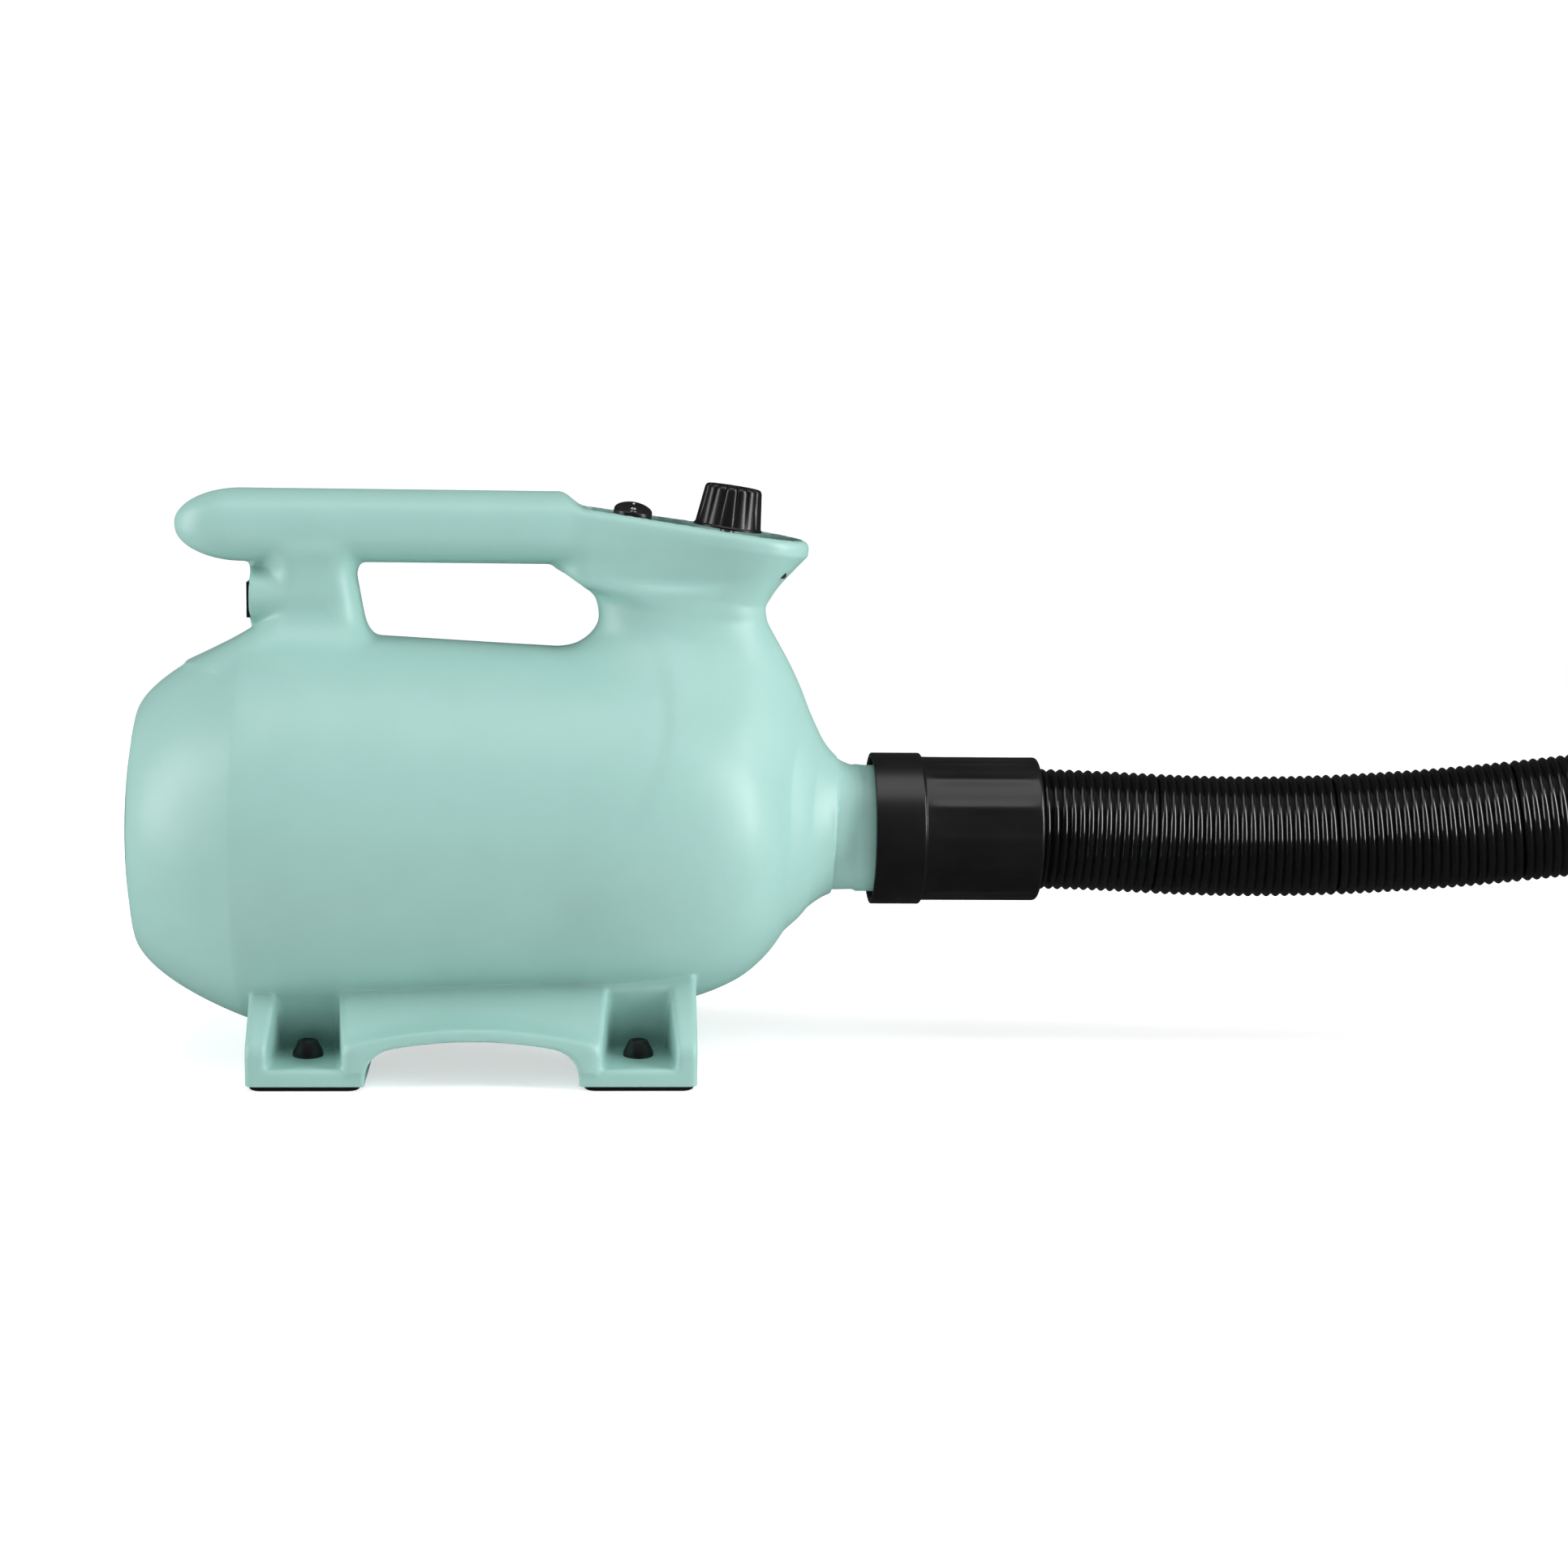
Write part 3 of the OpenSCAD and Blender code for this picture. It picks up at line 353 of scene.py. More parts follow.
def outside(x, y, z):
    """The moulding's outer skin."""
    r = np.hypot(y, z - axis_z)
    hood = step01(-hood_profile(x, z), -2.0, 8.0) * step01(x, 36, 64) * (1 - step01(x, 122, 150))
    barrel = barrel_profile(x, r) - 2.2 * hood
    # grip: flat sides under a domed top, and an elliptical nose
    nose = np.maximum(0, (grip_tip + 31.5) - x) * (17 / 31.5)
    gz = z - 249.6
    section = smax(smax(np.abs(y) - 18, np.hypot(y, gz + 3) - 20, 4), np.hypot(y, gz - 11) - 28, 5)
    grip = np.sqrt(np.maximum(section + 17, 0) ** 2 + nose ** 2) - 17
    grip = smax(grip, x - 88, 8)
    # rear post and the round boss behind it
    grow = 0.02 * np.maximum(0, 216 - z) ** 2
    spread = 0.09 * np.maximum(0, 226 - z)
    post = rect(x + 76.2 + grow - spread, y, 18.0 + grow + spread, 15.6 + grow, 12)
    post = np.maximum(smax(post, z - 239, 6), 190 - z)
    boss_r = np.hypot(y * 0.86, z - 216.4)
    boss = smax(boss_r - 13.9, -(x + 105.5) + (boss_r / 14) ** 8 * 0.9, 1.0)
    boss = np.maximum(boss, x + 70)
    # bowl, narrowing to the pinch above the tower
    px, pz = x - RIM[0], z - RIM[2]
    u = px * PANEL_U[0] + pz * PANEL_U[2]
    w = px * PANEL_W[0] + pz * PANEL_W[2]
    shrink = 0.36 * np.clip(-w - 7, 0, 26)
    bowl = smax(egg(u, y, shrink) * 0.94, -w - 36, 3)
    side = head_profile(x, z)
    bowl = smax(bowl, side, 2.5)
    # tower: elliptical in plan, spreading down into the barrel
    half = sum(np.interp(z + step, TOWER_Z, TOWER_HALF) for step in (-9, -4.5, 0, 4.5, 9)) / 5
    front = sum(np.interp(z + step, TOWER_Z, TOWER_FRONT) for step in (-4, -2, 0, 2, 4)) / 5 - TOWER_MIDDLE
    reach = np.where(x > TOWER_MIDDLE, front, TOWER_MIDDLE - 54.0)
    ellipse = np.sqrt(((x - TOWER_MIDDLE) / reach) ** 2 + (y / half) ** 2)
    tower = (ellipse - 1) * np.minimum(reach, half) * 0.9
    tower = smax(tower, side, 3)
    tower = smax(tower, z - 222, 3)
    # base: upright foot faces, sides that lean in to the barrel, arches, and pockets for the pads' heads
    ax, ay = np.abs(x), np.abs(y)
    lean = (ay - BASE_SIDE) * 0.685 + (z - LEDGE) * 0.729
    base = smax(ay - BASE_SIDE, lean, 3)
    base = smax(base, ax - BASE_END, 3.5)
    base = smax(base, z - 70, 2)
    arch_top = ARCH_TOP - 4.8 * (x / 44) ** 2
    lip = smax(ay - BASE_SIDE, z - arch_top - 6.0, 3)
    lip = smax(lip, ax - 54, 4)
    base = smin(base, np.maximum(lip, 10 - z), 5)
    base = smax(base, -smax(z - arch_top, ax - 48.4, 13), 2.2)
    deep = ay - 46.5
    pocket = smax(np.abs(ax - FOOT_X) - 12.8 - 0.112 * deep, 0.45 * (z - 12.2) - deep, 3)
    pocket = smax(pocket, 12.2 - 0.057 * deep - z, 2.5)
    base = smax(base, -pocket, 3)
    base = np.maximum(base, -block(x, y, z - 10, 230, 34, 20, 3))
    base = smax(base, 2.2 - z, 0.8)
    body = smin(smin(barrel, tower, 16), post, 8)
    body = smin(smin(body, boss, 2), base, 1.6)
    top = smin(smin(grip, post, 6), bowl, 5)
    body = smin(body, top, 7)
    # everything above the rim is cut away, with a sweep up to the top of the grip
    rise = 14.5 * step01(-x, -50, -28)
    return smax(body, w - rise, 4.5)


def inside(x, y, z):
    """The hollow within the moulding."""
    r = np.hypot(y, z - axis_z)
    barrel = np.maximum(barrel_profile(x, r) + WALL, x - 150)
    barrel = np.maximum(barrel, -150.5 - x)
    ribs = np.minimum(
        np.maximum(np.abs(x + 108) - 3, 65 - r),
        np.minimum(np.maximum(np.abs(x - 6) - 3, 52 - r), np.maximum(np.abs(x + 143) - 7, np.abs(r - 58.5) - 1.5)))
    hollow = np.maximum(barrel, -ribs)
    hollow = np.minimum(hollow, np.maximum(r - NECK_BORE, 140 - x))
    hollow = np.minimum(hollow, np.maximum(r - cover_r, x + 147))
    px, pz = x - RIM[0], z - RIM[2]
    u = px * PANEL_U[0] + pz * PANEL_U[2]
    w = px * PANEL_W[0] + pz * PANEL_W[2]
    dish = np.maximum(egg(u, y) + 4.0, -6.6 - w)
    hollow = np.minimum(hollow, dish)
    hollow = np.minimum(hollow, np.maximum(np.hypot(u - SWITCH_U, y) - 12.5, np.maximum(-24 - w, w)))
    hollow = np.minimum(hollow, np.maximum(np.hypot(u - KNOB_U, y) - 14, np.maximum(-24 - w, w)))
    column = np.maximum(np.hypot((x - 96) / 1.7, y) - 17, np.maximum(z - 241, 150 - z))
    hollow = np.minimum(hollow, column)
    way = np.maximum(np.hypot(y, z - 241) - 6, np.abs(x - 1) - 75)
    drop = np.maximum(np.hypot(x + 74, y) - 8, np.abs(z - 226) - 16)
    socket = block(x + 90, y, z - 216, 17, 12.2, 7.4, 1.0)
    return np.minimum(np.minimum(hollow, way), np.minimum(drop, socket))


SCREWS = [(-90, 81), (62, 76), (-90, -81), (62, -76), (-122, 141), (0, 149), (142, 121.5), (126, -56)]


def casing(x, y, z):
    d = smax(outside(x, y, z), -inside(x, y, z), 0.8)
    for sx, sz in SCREWS:
        rr = np.hypot(x - sx, z - axis_z - sz)
        way_r = 3.9 if sx < 140 else 3.0
        d = np.maximum(d, -np.maximum(rr - way_r, 6 - y))
    # twist-lock grooves in the neck
    r = np.hypot(y, z - axis_z)
    angle = np.degrees(np.arctan2(z - axis_z, y))
    for turn in (0.0, 180.0):
        off = (angle - 32.0 - turn + 180) % 360 - 180
        run = np.maximum(np.abs(off - 15) - 22, 0) * 0.5 + np.where(np.abs(off - 15) < 22, (np.abs(off - 15) - 22) * 0.5, 0)
        groove = np.maximum(np.maximum(np.abs(x - 202) - 3, 28.8 - r), run)
        exit_run = (np.abs(off - 30) - 6.4) * 0.5
        leave = np.maximum(np.maximum(199.4 - x, 28.7 - r), exit_run)
        d = np.maximum(d, -np.minimum(groove, leave))
    return d


def surface(field, lo, hi, h):
    """Meshes the zero level of a field by dual contouring: one vertex in each crossed cell, set where the
    tangent planes of the crossings meet, so edges stay crisp."""
    n = [int(math.ceil((b - a) / h)) + 1 for a, b in zip(lo, hi)]
    lo = np.array(lo, float)
    coarse = 4
    axes = [lo[k] + h * np.arange(n[k]) for k in range(3)]
    cx, cy, cz = (np.append(a[::coarse], a[-1]) for a in axes)
    rough = field(*(g.ravel() for g in np.meshgrid(cx, cy, cz, indexing="ij"))).reshape(len(cx), len(cy), len(cz))
    idx = [np.minimum((np.arange(n[k]) + coarse // 2) // coarse, rough.shape[k] - 1) for k in range(3)]
    values = rough[np.ix_(*idx)].astype(np.float32)
    where = np.argwhere(np.abs(values) < h * coarse * 1.6 + 2.5)
    for s in range(0, len(where), 1000000):
        part = where[s:s + 1000000]
        values[tuple(part.T)] = field(axes[0][part[:, 0]], axes[1][part[:, 1]], axes[2][part[:, 2]])
    sign = values < 0
    count = np.zeros([m - 1 for m in n], np.uint8)
    for dx in (0, 1):
        for dy in (0, 1):
            for dz in (0, 1):
                count += sign[dx:n[0] - 1 + dx, dy:n[1] - 1 + dy, dz:n[2] - 1 + dz]
    active = (count > 0) & (count < 8)
    number = np.full(active.shape, -1, np.int64)
    cells = np.argwhere(active)
    total = len(cells)
    number[active] = np.arange(total)
    unit = np.eye(3, dtype=int)
    push = np.zeros((total, 9))
    middle = np.zeros((total, 3))
    hits = np.zeros(total)
    faces = []
    e = 0.02
    pairs = [(0, 0), (0, 1), (0, 2), (1, 1), (1, 2), (2, 2)]
    for axis in range(3):
        o1, o2 = [k for k in range(3) if k != axis]
        shift = unit[axis]
        a = sign[:-1 if shift[0] else None, :-1 if shift[1] else None, :-1 if shift[2] else None]
        b = sign[1 if shift[0] else 0:, 1 if shift[1] else 0:, 1 if shift[2] else 0:]
        edges = np.argwhere(a != b)
        ok = (edges[:, o1] > 0) & (edges[:, o2] > 0) & (edges[:, o1] < n[o1] - 1) & (edges[:, o2] < n[o2] - 1)
        edges = edges[ok]
        da = values[tuple(edges.T)].astype(float)
        db = values[tuple((edges + shift).T)].astype(float)
        base = lo + h * edges
        t0, t1 = np.zeros(len(edges)), np.ones(len(edges))
        for _ in range(3):
            tm = np.clip(t0 + (t1 - t0) * da / (da - db), t0 + 0.02 * (t1 - t0), t1 - 0.02 * (t1 - t0))
            dm = field(*(base + h * tm[:, None] * shift).T)
            first = (dm < 0) == (da < 0)
            t0, da = np.where(first, tm, t0), np.where(first, dm, da)
            t1, db = np.where(first, t1, tm), np.where(first, db, dm)
        tm = t0 + (t1 - t0) * np.clip(da / np.where(da == db, 1e-9, da - db), 0, 1)
        point = base + h * tm[:, None] * shift
        normal = np.stack([field(*(point + e * unit[k]).T) - field(*(point - e * unit[k]).T) for k in range(3)], 1)
        normal /= np.maximum(np.linalg.norm(normal, axis=1, keepdims=True), 1e-12)
        reach = (normal * point).sum(1)
        quad = []
        for i, j in ((1, 1), (0, 1), (0, 0), (1, 0)):
            cell = number[tuple((edges - i * unit[o1] - j * unit[o2]).T)]
            quad.append(cell)
            for k in range(3):
                middle[:, k] += np.bincount(cell, point[:, k], total)
                push[:, 6 + k] += np.bincount(cell, normal[:, k] * reach, total)
            for k, (p, q) in enumerate(pairs):
                push[:, k] += np.bincount(cell, normal[:, p] * normal[:, q], total)
            hits += np.bincount(cell, minlength=total)
        quad = np.stack(quad, 1)
        flip = a[tuple(edges.T)]
        if axis == 1:
            flip = ~flip
        quad[~flip] = quad[~flip][:, ::-1]
        faces.append(quad)
    hits = np.maximum(hits, 1)
    middle /= hits[:, None]
    square = np.empty((total, 3, 3))
    for k, (p, q) in enumerate(pairs):
        square[:, p, q] = square[:, q, p] = push[:, k]
    right = push[:, 6:] - (square @ middle[:, :, None])[:, :, 0]
    size, along = np.linalg.eigh(square)
    keep = size > 0.06 * size[:, 2:3]
    part = (along.transpose(0, 2, 1) @ right[:, :, None])[:, :, 0]
    part = np.where(keep, part / np.where(keep, size, 1), 0)
    verts = middle + (along @ part[:, :, None])[:, :, 0]
    corner = lo + h * cells
    return np.clip(verts, corner, corner + h), np.vstack(faces)


# ---------------------------------------------------------------- housing
STEP = 1.1
SEAM = 0.12
low = [-168.0, -97.5, -2.0]
high = [neck_end_x + 3, 2.0, grip_top + 4]


def cut_half(name, side):
    """One half of the moulding, cut just short of the joining plane."""
    verts, faces = surface(lambda x, y, z: np.maximum(casing(x, side * -y, z), y + SEAM), low, high, STEP)
    verts[:, 1] *= -side
    mesh = bpy.data.meshes.new(name)
    mesh.from_pydata(verts * MM, [], faces.tolist())
    bm = bmesh.new()
    bm.from_mesh(mesh)
    bmesh.ops.recalc_face_normals(bm, faces=bm.faces)
    bm.to_mesh(mesh)
    bm.free()
    mesh.shade_smooth()
    mesh.set_sharp_from_angle(angle=math.radians(38))
    mesh.materials.append(casing_mat)
    obj = bpy.data.objects.new(name, mesh)
    bpy.context.scene.collection.objects.link(obj)
    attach(obj, "housing")
    return obj


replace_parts(cut_half("casing_right", -1), "housing_right")
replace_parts(cut_half("casing_left", 1), "housing_left")

# ---------------------------------------------------------------- controls
panel_frame = frame_at(RIM, PANEL_U, PANEL_V, PANEL_W)


def panel_at(u, w):
    return frame_at(RIM + u * PANEL_U + w * PANEL_W, PANEL_U, PANEL_V, PANEL_W)


LOBES = 15


def lobed(a, r, z):
    side = step01(z, 1.6, 3.4) * step01(r, 8, 12.5)
    return r - side * 1.5 * (1 - abs(math.cos(LOBES * a / 2)) ** 0.45)


knob_line = rounded_line(
    [(0, 0.4), (16.2, 0.4), (16.2, 1.3), (15.6, 1.6), (13.3, 20.3), (8.5, 20.2), (7.5, 19.4), (0, 19.4)],
    [0, 0, 0.4, 0.4, 4.6, 0.8, 0.6, 0], 7)
v, f = lathe([tuple(p) for p in knob_line], LOBES * 16, lobed, closed=False)
knob = new_object("knob_cap", v, f, fitting_mat, "knob", 50, panel_at(KNOB_U, 0))
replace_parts(knob, "speed_knob")

bezel_line = rounded_line([(10.3, -12), (10.3, 2.2), (11.9, 2.2), (13.4, 0.9), (13.4, 0.05), (10.8, 0.05), (10.8, -12), (10.3, -12)],
                          [0, 0.5, 0.6, 0.4, 0, 0, 0, 0], 4)
v, f = lathe([tuple(p) for p in bezel_line], 72)
bezel = new_object("switch_bezel", v, f, control_mat, "housing", 50, panel_at(SWITCH_U, -4))

ROCK = math.radians(14)
rock_v = np.array([0, math.cos(ROCK), 0]) + math.sin(ROCK) * PANEL_W
rock_w = math.cos(ROCK) * PANEL_W - math.sin(ROCK) * PANEL_V
rocker_frame = frame_at(RIM + SWITCH_U * PANEL_U - 4 * PANEL_W, PANEL_U, math.cos(ROCK) * PANEL_V + math.sin(ROCK) * PANEL_W, rock_w)
verts, faces = [], []
RINGS = [(0.0, 0), (3, 0), (6, 0), (8.0, 0), (8.7, -0.25), (9.0, -0.8), (9.0, -8.5), (0.0, -8.5)]
SPOKES = 64
for i in range(SPOKES):
    a = 2 * math.pi * i / SPOKES
    for r, drop in RINGS:
        px, py = r * math.cos(a), r * math.sin(a)
        top = 7.0 + 0.0135 * py * py
        verts.append((px, py, top + drop if drop > -5 else -1.5))
for i in range(SPOKES):
    for k in range(len(RINGS) - 1):
        m = len(RINGS)
        faces.append((i * m + k, i * m + k + 1, ((i + 1) % SPOKES) * m + k + 1, ((i + 1) % SPOKES) * m + k))
rocker = new_object("rocker_cap", verts, faces, control_mat, "rocker", 50, rocker_frame)
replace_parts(rocker, "rocker")


def mark(name, x0, y0, shape):
    """A thin raised mark on the rocker: a dot or a ring."""
    inner, outer = shape
    line = [(inner, 0), (outer, 0), (outer, 0.12), (inner, 0.12)]
    v, f = lathe(line, 28, closed=True)
    v = [(a + x0, b + y0, c + 7.0 + 0.0135 * (b + y0) ** 2 - 0.02) for a, b, c in v]
    return new_object(name, v, f, mark_mat, "rocker", 30, rocker_frame)


mark("rocker_mark_far", 0, 6.2, (0.02, 0.55))
mark("rocker_mark_middle", 0, 0, (0.75, 1.2))
mark("rocker_mark_near_a", -0.9, -6.2, (0.02, 0.55))
mark("rocker_mark_near_b", 0.9, -6.2, (0.02, 0.55))

# ---------------------------------------------------------------- feet
FOOT_Y = 67.0
feet = []
for name, sx, sy in (("rear_right", -1, -1), ("rear_left", -1, 1), ("front_right", 1, -1), ("front_left", 1, 1)):
    outline = []
    for q, (cx, cy) in enumerate(((1, 1), (-1, 1), (-1, -1), (1, -1))):
        for k in range(7):
            a = math.radians(90 * q + 15 * k)
            outline.append((cx * 20 + 4.9 * math.cos(a), cy * 12.1 + 4.9 * math.sin(a)))
    verts, faces = [], []
    levels = [(0.0, 0.9), (0.5, 0.25), (1.1, 0.0), (2.15, 0.0)]
    m = len(outline)
    for z, inset in levels:
        for px, py in outline:
            scale = 1 - inset / 25
            verts.append((px * scale, py * (1 - inset / 16), z))
    for k in range(len(levels) - 1):
        for i in range(m):
            faces.append((k * m + i, k * m + (i + 1) % m, (k + 1) * m + (i + 1) % m, (k + 1) * m + i))
    faces.append(tuple(range(m))[::-1])
    faces.append(tuple((len(levels) - 1) * m + i for i in range(m)))
    pad = new_object("pad_" + name, verts, faces, rubber_mat, "housing", 40,
                     lambda p, sx=sx, sy=sy: p + np.array([sx * FOOT_X, sy * FOOT_Y, 0]))
    head_line = rounded_line([(0, -1.2), (7.1, -1.2), (6.9, 1.0), (4.2, 6.4), (3.1, 6.4), (2.6, 5.9), (0, 5.9)],
                             [0, 0.3, 0.5, 0.9, 0.4, 0.3, 0], 4)
    v, f = lathe([tuple(p) for p in head_line], 48, closed=False)
    head = new_object("pad_head_" + name, v, f, rubber_mat, "housing", 50,
                      lambda p, sx=sx, sy=sy: p + np.array([sx * FOOT_X, sy * 60.0, 12.1]))
    feet.append(pad)
    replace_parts(pad, "rubber_feet")

# ---------------------------------------------------------------- coupler
FLUTES = 14


def fluted(a, r, z):
    part = step01(r, 31.5, 33.5) * step01(z, 211, 214) * (1 - step01(z, 259, 265.5))
    return r - part * 0.75 * (1 - abs(math.sin(FLUTES * a / 2)) ** 6) * 1.0


coupler_line = rounded_line(
    [(33.4, 190.6), (33.4, 186.2), (36.1, 186.2), (36.1, 209.6), (34.3, 210.2), (34.3, 266.0), (29.2, 266.0),
     (29.2, 261.8), (31.0, 261.8), (31.0, 212.2), (26.0, 212.2), (26.0, 209.6), (31.0, 209.6), (31.0, 190.6), (33.4, 190.6)],
    [0, 0.7, 0.9, 1.1, 0.5, 5.5, 0.4, 0, 0, 0, 0, 0, 0, 0.2, 0], 6)
long_line = []
for a, b in zip(coupler_line[:-1], coupler_line[1:]):
    parts = max(1, int(abs(b[1] - a[1]) // 5))
    for k in range(parts):
        long_line.append(tuple(a + (b - a) * k / parts))
v, f = lathe(long_line, FLUTES * 16, fluted)
coupler = new_object("coupler_body", v, f, fitting_mat, "coupler", 50, along_x)
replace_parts(coupler, "hose_coupler")

# ---------------------------------------------------------------- hose
bends = [joint["hose_bend_%d" % k] for k in range(1, 8)]
pivots = [1000 * np.array(j["pos_m"]) for j in bends]
start = np.array([214.0, 0.0, axis_z])
RIB_R, VALLEY_R, BORE_R, PITCH = 28.8, 27.3, 26.3, 4.3
points = [start] + pivots
headings = []
for k in range(len(points) - 1):
    d = points[k + 1] - points[k]
    headings.append(d / np.linalg.norm(d))
last_axis = np.array(joint["nozzle_turn"]["axis"])
headings.append(last_axis)
middles = [np.array([262.0, 0.0, axis_z])] + [(points[k] + points[k + 1]) / 2 for k in range(1, 7)]
middles.append(pivots[-1] + 20 * last_axis)
directions = [headings[0]] + headings[1:7] + [last_axis]


def hermite(p0, d0, p1, d1, count):
    length = np.linalg.norm(p1 - p0)
    tt = np.linspace(0, 1, count)[:, None]
    return ((2 * tt ** 3 - 3 * tt ** 2 + 1) * p0 + (tt ** 3 - 2 * tt ** 2 + tt) * length * d0
            + (-2 * tt ** 3 + 3 * tt ** 2) * p1 + (tt ** 3 - tt ** 2) * length * d1)


def hose_piece(name, path, first, last, nodes, ride=None, bend=None):
    """A ribbed tube with thickness along a path."""
    steps = np.linalg.norm(np.diff(path, axis=0), axis=1)
    s = np.concatenate([[0], np.cumsum(steps)])
    ribs = max(1, round(s[-1] / PITCH))
    per = 8
    around = 96
    stations = np.linspace(0, s[-1], ribs * per + 1)
    centre = np.stack([np.interp(stations, s, path[:, k]) for k in range(3)], 1)
    tangent = np.gradient(centre, axis=0)
    tangent /= np.linalg.norm(tangent, axis=1, keepdims=True)
    tangent[0], tangent[-1] = first, last
    side = np.cross(np.array([0, 0, 1.0]), tangent)
    side /= np.linalg.norm(side, axis=1, keepdims=True)
    up = np.cross(tangent, side)
    phase = 2 * math.pi * stations / s[-1] * ribs
    wave = 0.5 - 0.5 * np.cos(phase)
    outer = VALLEY_R + (RIB_R - VALLEY_R) * wave ** 0.55
    inner = np.full(len(stations), BORE_R)
    a = np.linspace(0, 2 * math.pi, around, endpoint=False)
    ring = np.cos(a)[None, :, None] * side[:, None, :] + np.sin(a)[None, :, None] * up[:, None, :]
    outer_v = (centre[:, None, :] + outer[:, None, None] * ring).reshape(-1, 3)
    inner_v = (centre[:, None, :] + inner[:, None, None] * ring).reshape(-1, 3)
    verts = np.vstack([outer_v, inner_v])
    m = len(stations)
    faces = []
    for i in range(m - 1):
        for k in range(around):
            k2 = (k + 1) % around
            faces.append((i * around + k, i * around + k2, (i + 1) * around + k2, (i + 1) * around + k))
            o = m * around
            faces.append((o + i * around + k, o + (i + 1) * around + k, o + (i + 1) * around + k2, o + i * around + k2))
    for k in range(around):
        k2 = (k + 1) % around
        o = m * around
        faces.append((k, o + k, o + k2, k2))
        e = (m - 1) * around
        faces.append((e + k, e + k2, o + e + k2, o + e + k))
    obj = new_object(name, verts, faces, hose_mat, ride, 70)
    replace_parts(obj, *nodes)
    if bend:
        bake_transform(obj)
    return obj


stub_path = np.linspace(start, middles[0] - np.array([0.05, 0, 0]), 40)
hose_piece("hose_stub", stub_path, headings[0], headings[0], ["hose_link_1"], ride="hose_1")
hose_bodies = ["hose_%d" % k for k in range(1, 8)] + ["cuff"]
for k in range(7):
    path = hermite(middles[k], directions[k], middles[k + 1], directions[k + 1], 120)
    path = path[:-1]
    nodes = ["hose_link_%d" % (k + 2)] if k < 6 else ["hose_link_7"]
    hose_piece("hose_run_%d" % (k + 1), path, directions[k], directions[k + 1], nodes,
               bend=(hose_bodies[k], hose_bodies[k + 1]))


def cuff_frame():
    w = last_axis
    sidev = np.cross(np.array([0, 0, 1.0]), w)
    sidev /= np.linalg.norm(sidev)
    upv = np.cross(w, sidev)
    return frame_at(pivots[-1], sidev, upv, w)


def cuff_wave(a, r, z):
    part = step01(r, 31.5, 32.8) * step01(z, 11, 14) * (1 - step01(z, 38, 43))
    return r - part * 0.75 * (1 - abs(math.sin(FLUTES * a / 2)) ** 6)


cuff_line = rounded_line(
    [(29.0, 9.0), (31.6, 9.0), (33.1, 11.5), (33.1, 43), (30.8, 46), (24.3, 46), (24.3, 24.2), (29.0, 24.2), (29.0, 9.0)],
    [0, 0.8, 1.2, 1.6, 1.0, 0.5, 0, 0, 0], 5)
v, f = lathe([tuple(p) for p in cuff_line], FLUTES * 14, cuff_wave)
cuff = new_object("cuff_body", v, f, fitting_mat, "cuff", 50, cuff_frame())
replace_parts(cuff, "hose_cuff")
nozzle_line = rounded_line(
    [(21.2, 26.2), (24.0, 26.2), (24.0, 46.2), (27.5, 46.2), (27.5, 50), (26, 52.2), (17.6, 110), (16.1, 111), (16.1, 138),
     (13.5, 138), (13.5, 110), (22.6, 52), (21.2, 46), (21.2, 26.2)],
    [0, 0.3, 0, 0.8, 0.9, 0.8, 0.8, 0.3, 0.9, 0.9, 0.5, 0.5, 0, 0], 5)
v, f = lathe([tuple(p) for p in nozzle_line], 96)
nozzle = new_object("nozzle_body", v, f, fitting_mat, "nozzle", 50, cuff_frame())
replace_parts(nozzle, "nozzle")

# ---------------------------------------------------------------- finishes for the CAD parts that stay
finish = {
    casing_mat: ["rear_cover"],
    panel_mat: ["control_panel"],
    control_mat: ["switch_body"],
    fitting_mat: ["panel_screws", "power_inlet", "hose_bushing"],
    rubber_mat: ["motor_mount_rear", "motor_mount_front", "coupler_seal"],
    filter_mat: ["intake_filter"],
    foam_mat: ["acoustic_foam"],
    steel_mat: ["housing_screws", "knob_shaft", "potentiometer_nut", "bearing_rear", "bearing_front", "brush_springs",
                "motor_shaft", "shaft_nut"],
    iron_mat: ["stator_core", "armature_core"],
    alloy_mat: ["fan_case", "motor_frame", "diffuser", "end_bracket", "impeller_first", "impeller_second",
                "impeller_spacer", "heatsink", "speed_potentiometer"],
    copper_mat: ["field_coils", "armature_winding", "commutator"],
    brass_mat: ["brush_holders"],
    carbon_mat: ["carbon_brushes"],
    board_mat: ["circuit_board"],
    component_mat: ["board_components"],
    wire_mat: ["mains_leads", "motor_leads"],
}
for mat, names in finish.items():
    for n in names:
        obj = frame["nodes"][n]
        obj.data.materials.clear()
        obj.data.materials.append(mat)
        obj.data.shade_smooth()
        obj.data.set_sharp_from_angle(angle=math.radians(30))

# ---------------------------------------------------------------- studio
floor_mat, floor_tree, floor_bsdf = nodes_of("floor")
floor_bsdf.inputs["Base Color"].default_value = (0.93, 0.93, 0.93, 1)
floor_bsdf.inputs["Roughness"].default_value = 0.9
floor_bsdf.inputs["Emission Color"].default_value = (1, 1, 1, 1)
floor_path = floor_tree.nodes.new("ShaderNodeLightPath")
floor_glow = floor_tree.nodes.new("ShaderNodeMapRange")
floor_glow.inputs["To Min"].default_value = 0.05
floor_glow.inputs["To Max"].default_value = 0.55
floor_tree.links.new(floor_path.outputs["Is Camera Ray"], floor_glow.inputs["Value"])
floor_tree.links.new(floor_glow.outputs["Result"], floor_bsdf.inputs["Emission Strength"])
grain(floor_tree, floor_bsdf, 60, 0.00005)
bm = bmesh.new()
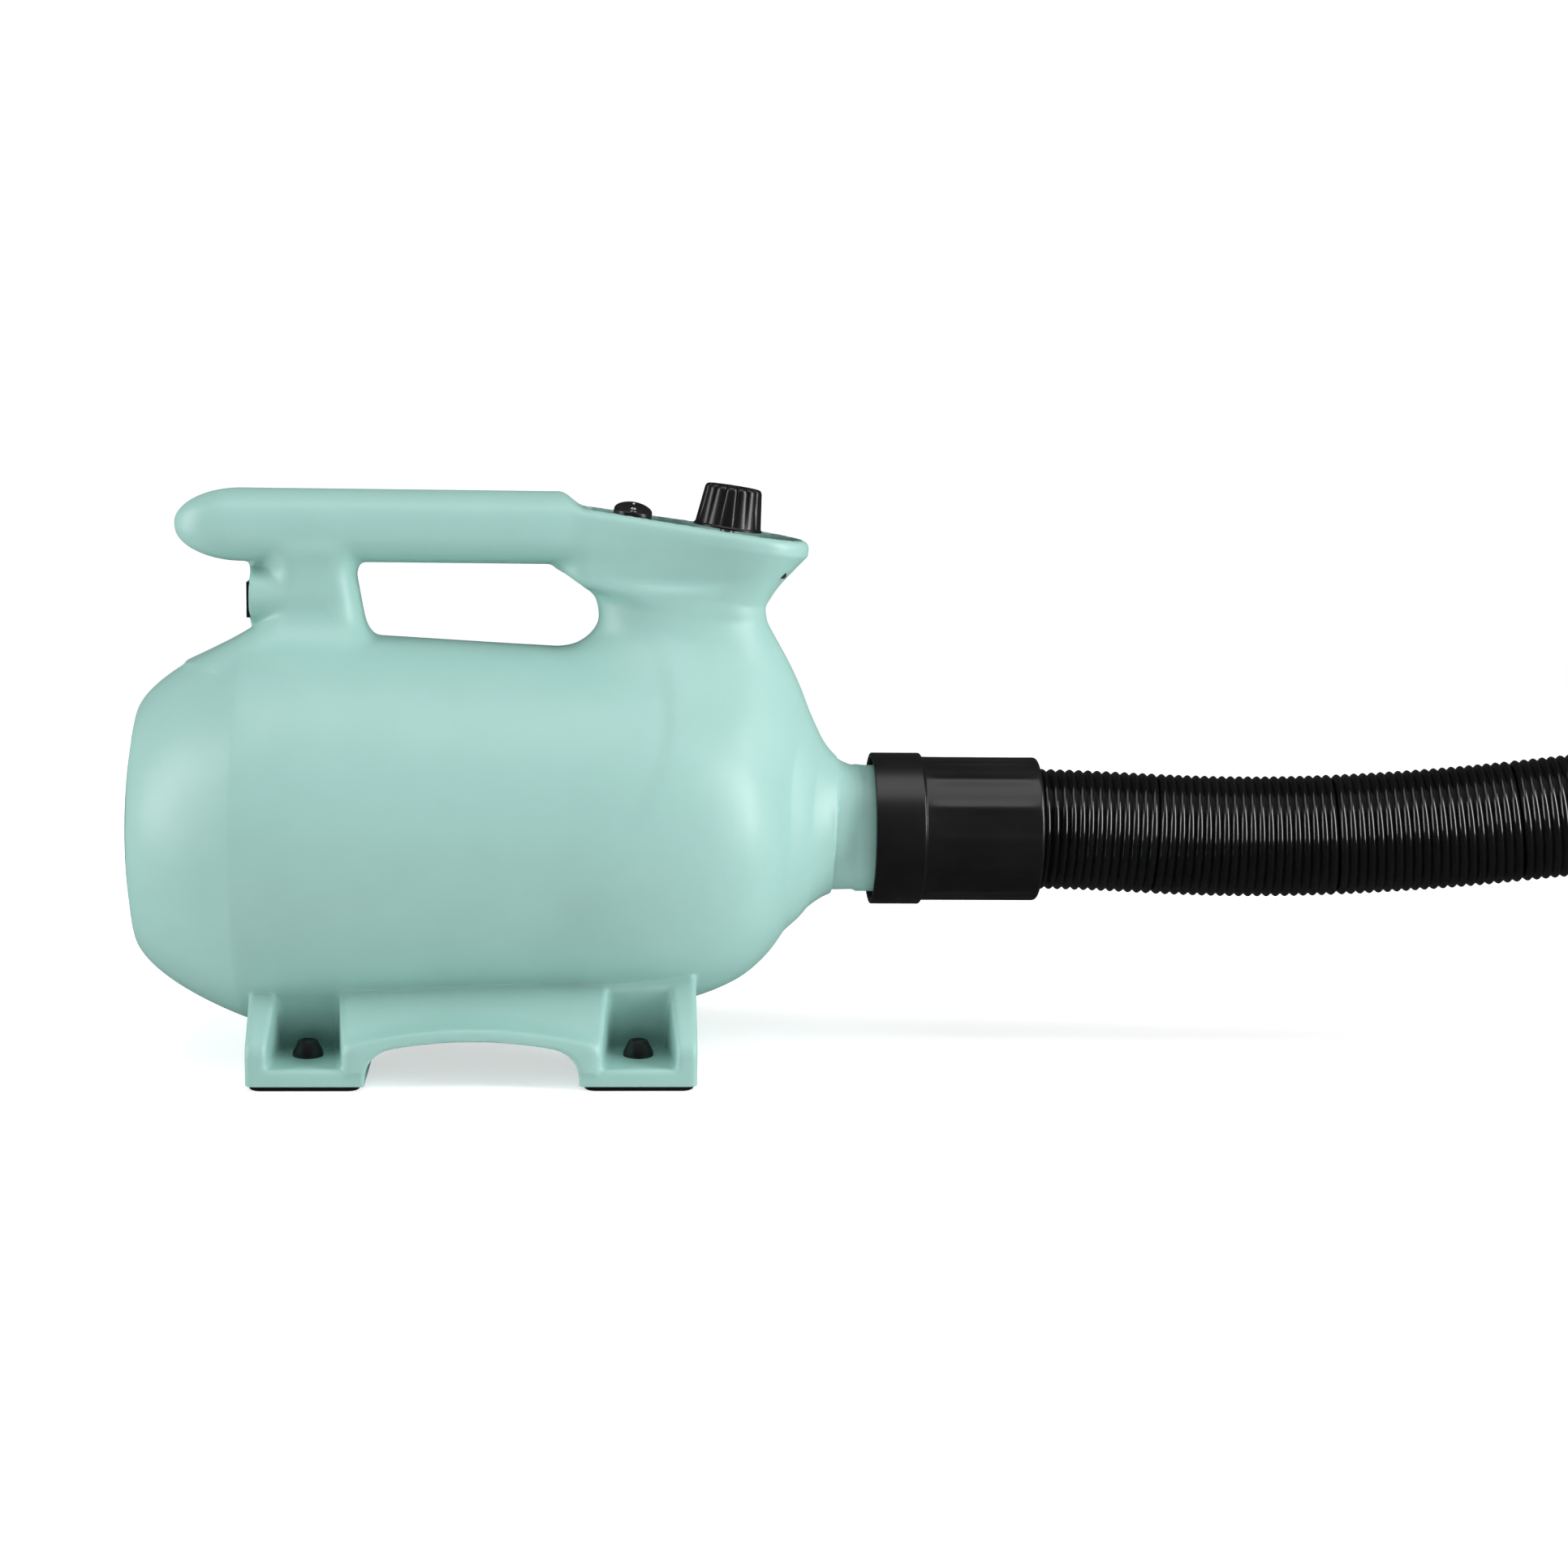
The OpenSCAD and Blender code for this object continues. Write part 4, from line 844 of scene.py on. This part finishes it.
# floor and backdrop in one sweep
rows = [(-4.0, 0.0)] + [(y, 0.0) for y in (-1.0, 0.5, 1.6)] + [
    (1.6 + 0.9 * math.sin(a), 0.9 - 0.9 * math.cos(a)) for a in np.linspace(0.15, math.pi / 2, 8)] + [(2.5, 6.0)]
grid = [[bm.verts.new((x, y, z)) for x in (-6, 6)] for y, z in rows]
for a, b in zip(grid[:-1], grid[1:]):
    bm.faces.new((a[0], a[1], b[1], b[0]))
floor_mesh = bpy.data.meshes.new("floor")
bm.to_mesh(floor_mesh)
bm.free()
floor_mesh.shade_smooth()
floor_mesh.materials.append(floor_mat)
floor = bpy.data.objects.new("floor", floor_mesh)
bpy.context.scene.collection.objects.link(floor)

FILL, GLOSS_FILL = 0.2, 0.04
floor.visible_glossy = False
world = bpy.data.worlds.new("studio")
bpy.context.scene.world = world
world.use_nodes = True
sky = world.node_tree.nodes["Background"]
sky.inputs["Color"].default_value = (1, 1, 1, 1)
# bright to the eye, softer as a light, dim in reflections
path = world.node_tree.nodes.new("ShaderNodeLightPath")
for socket, plain, chosen in (("Is Glossy Ray", FILL, GLOSS_FILL), ("Is Camera Ray", None, 1.0)):
    mix = world.node_tree.nodes.new("ShaderNodeMix")
    world.node_tree.links.new(path.outputs[socket], mix.inputs["Factor"])
    if plain is None:
        world.node_tree.links.new(last_mix.outputs["Result"], mix.inputs["A"])
    else:
        mix.inputs["A"].default_value = plain
    mix.inputs["B"].default_value = chosen
    last_mix = mix
world.node_tree.links.new(last_mix.outputs["Result"], sky.inputs["Strength"])


def area_light(name, at, target, size, power, spread=180):
    data = bpy.data.lights.new(name, "AREA")
    data.shape = "RECTANGLE"
    data.size, data.size_y = size
    data.energy = power
    data.spread = math.radians(spread)
    lamp = bpy.data.objects.new(name, data)
    lamp.location = at
    lamp.rotation_euler = (Vector(target) - Vector(at)).to_track_quat("-Z", "Y").to_euler()
    bpy.context.scene.collection.objects.link(lamp)


area_light("top_box", (0.1, -0.45, 1.7), (0.05, 0, 0.1), (1.8, 1.2), 12.5)
area_light("left_box", (-1.6, -0.45, 0.6), (-0.05, 0, 0.12), (0.6, 1.4), 18.5)
area_light("right_box", (1.6, -0.6, 0.7), (0.1, 0, 0.12), (0.5, 1.3), 25)

camera_data = bpy.data.cameras.new("camera")
camera = bpy.data.objects.new("camera", camera_data)
bpy.context.scene.collection.objects.link(camera)
camera_data.sensor_width = 36
camera_data.lens = 71.53
camera.location = (0.045, -1.463, 0.345)
look = Vector((0.1449, 0.0, 0.1290)) - camera.location
camera.rotation_euler = look.to_track_quat("-Z", "Y").to_euler()
camera.rotation_euler.rotate_axis("Z", math.radians(0.9))
bpy.context.scene.camera = camera
bpy.context.scene.view_settings.view_transform = "Standard"
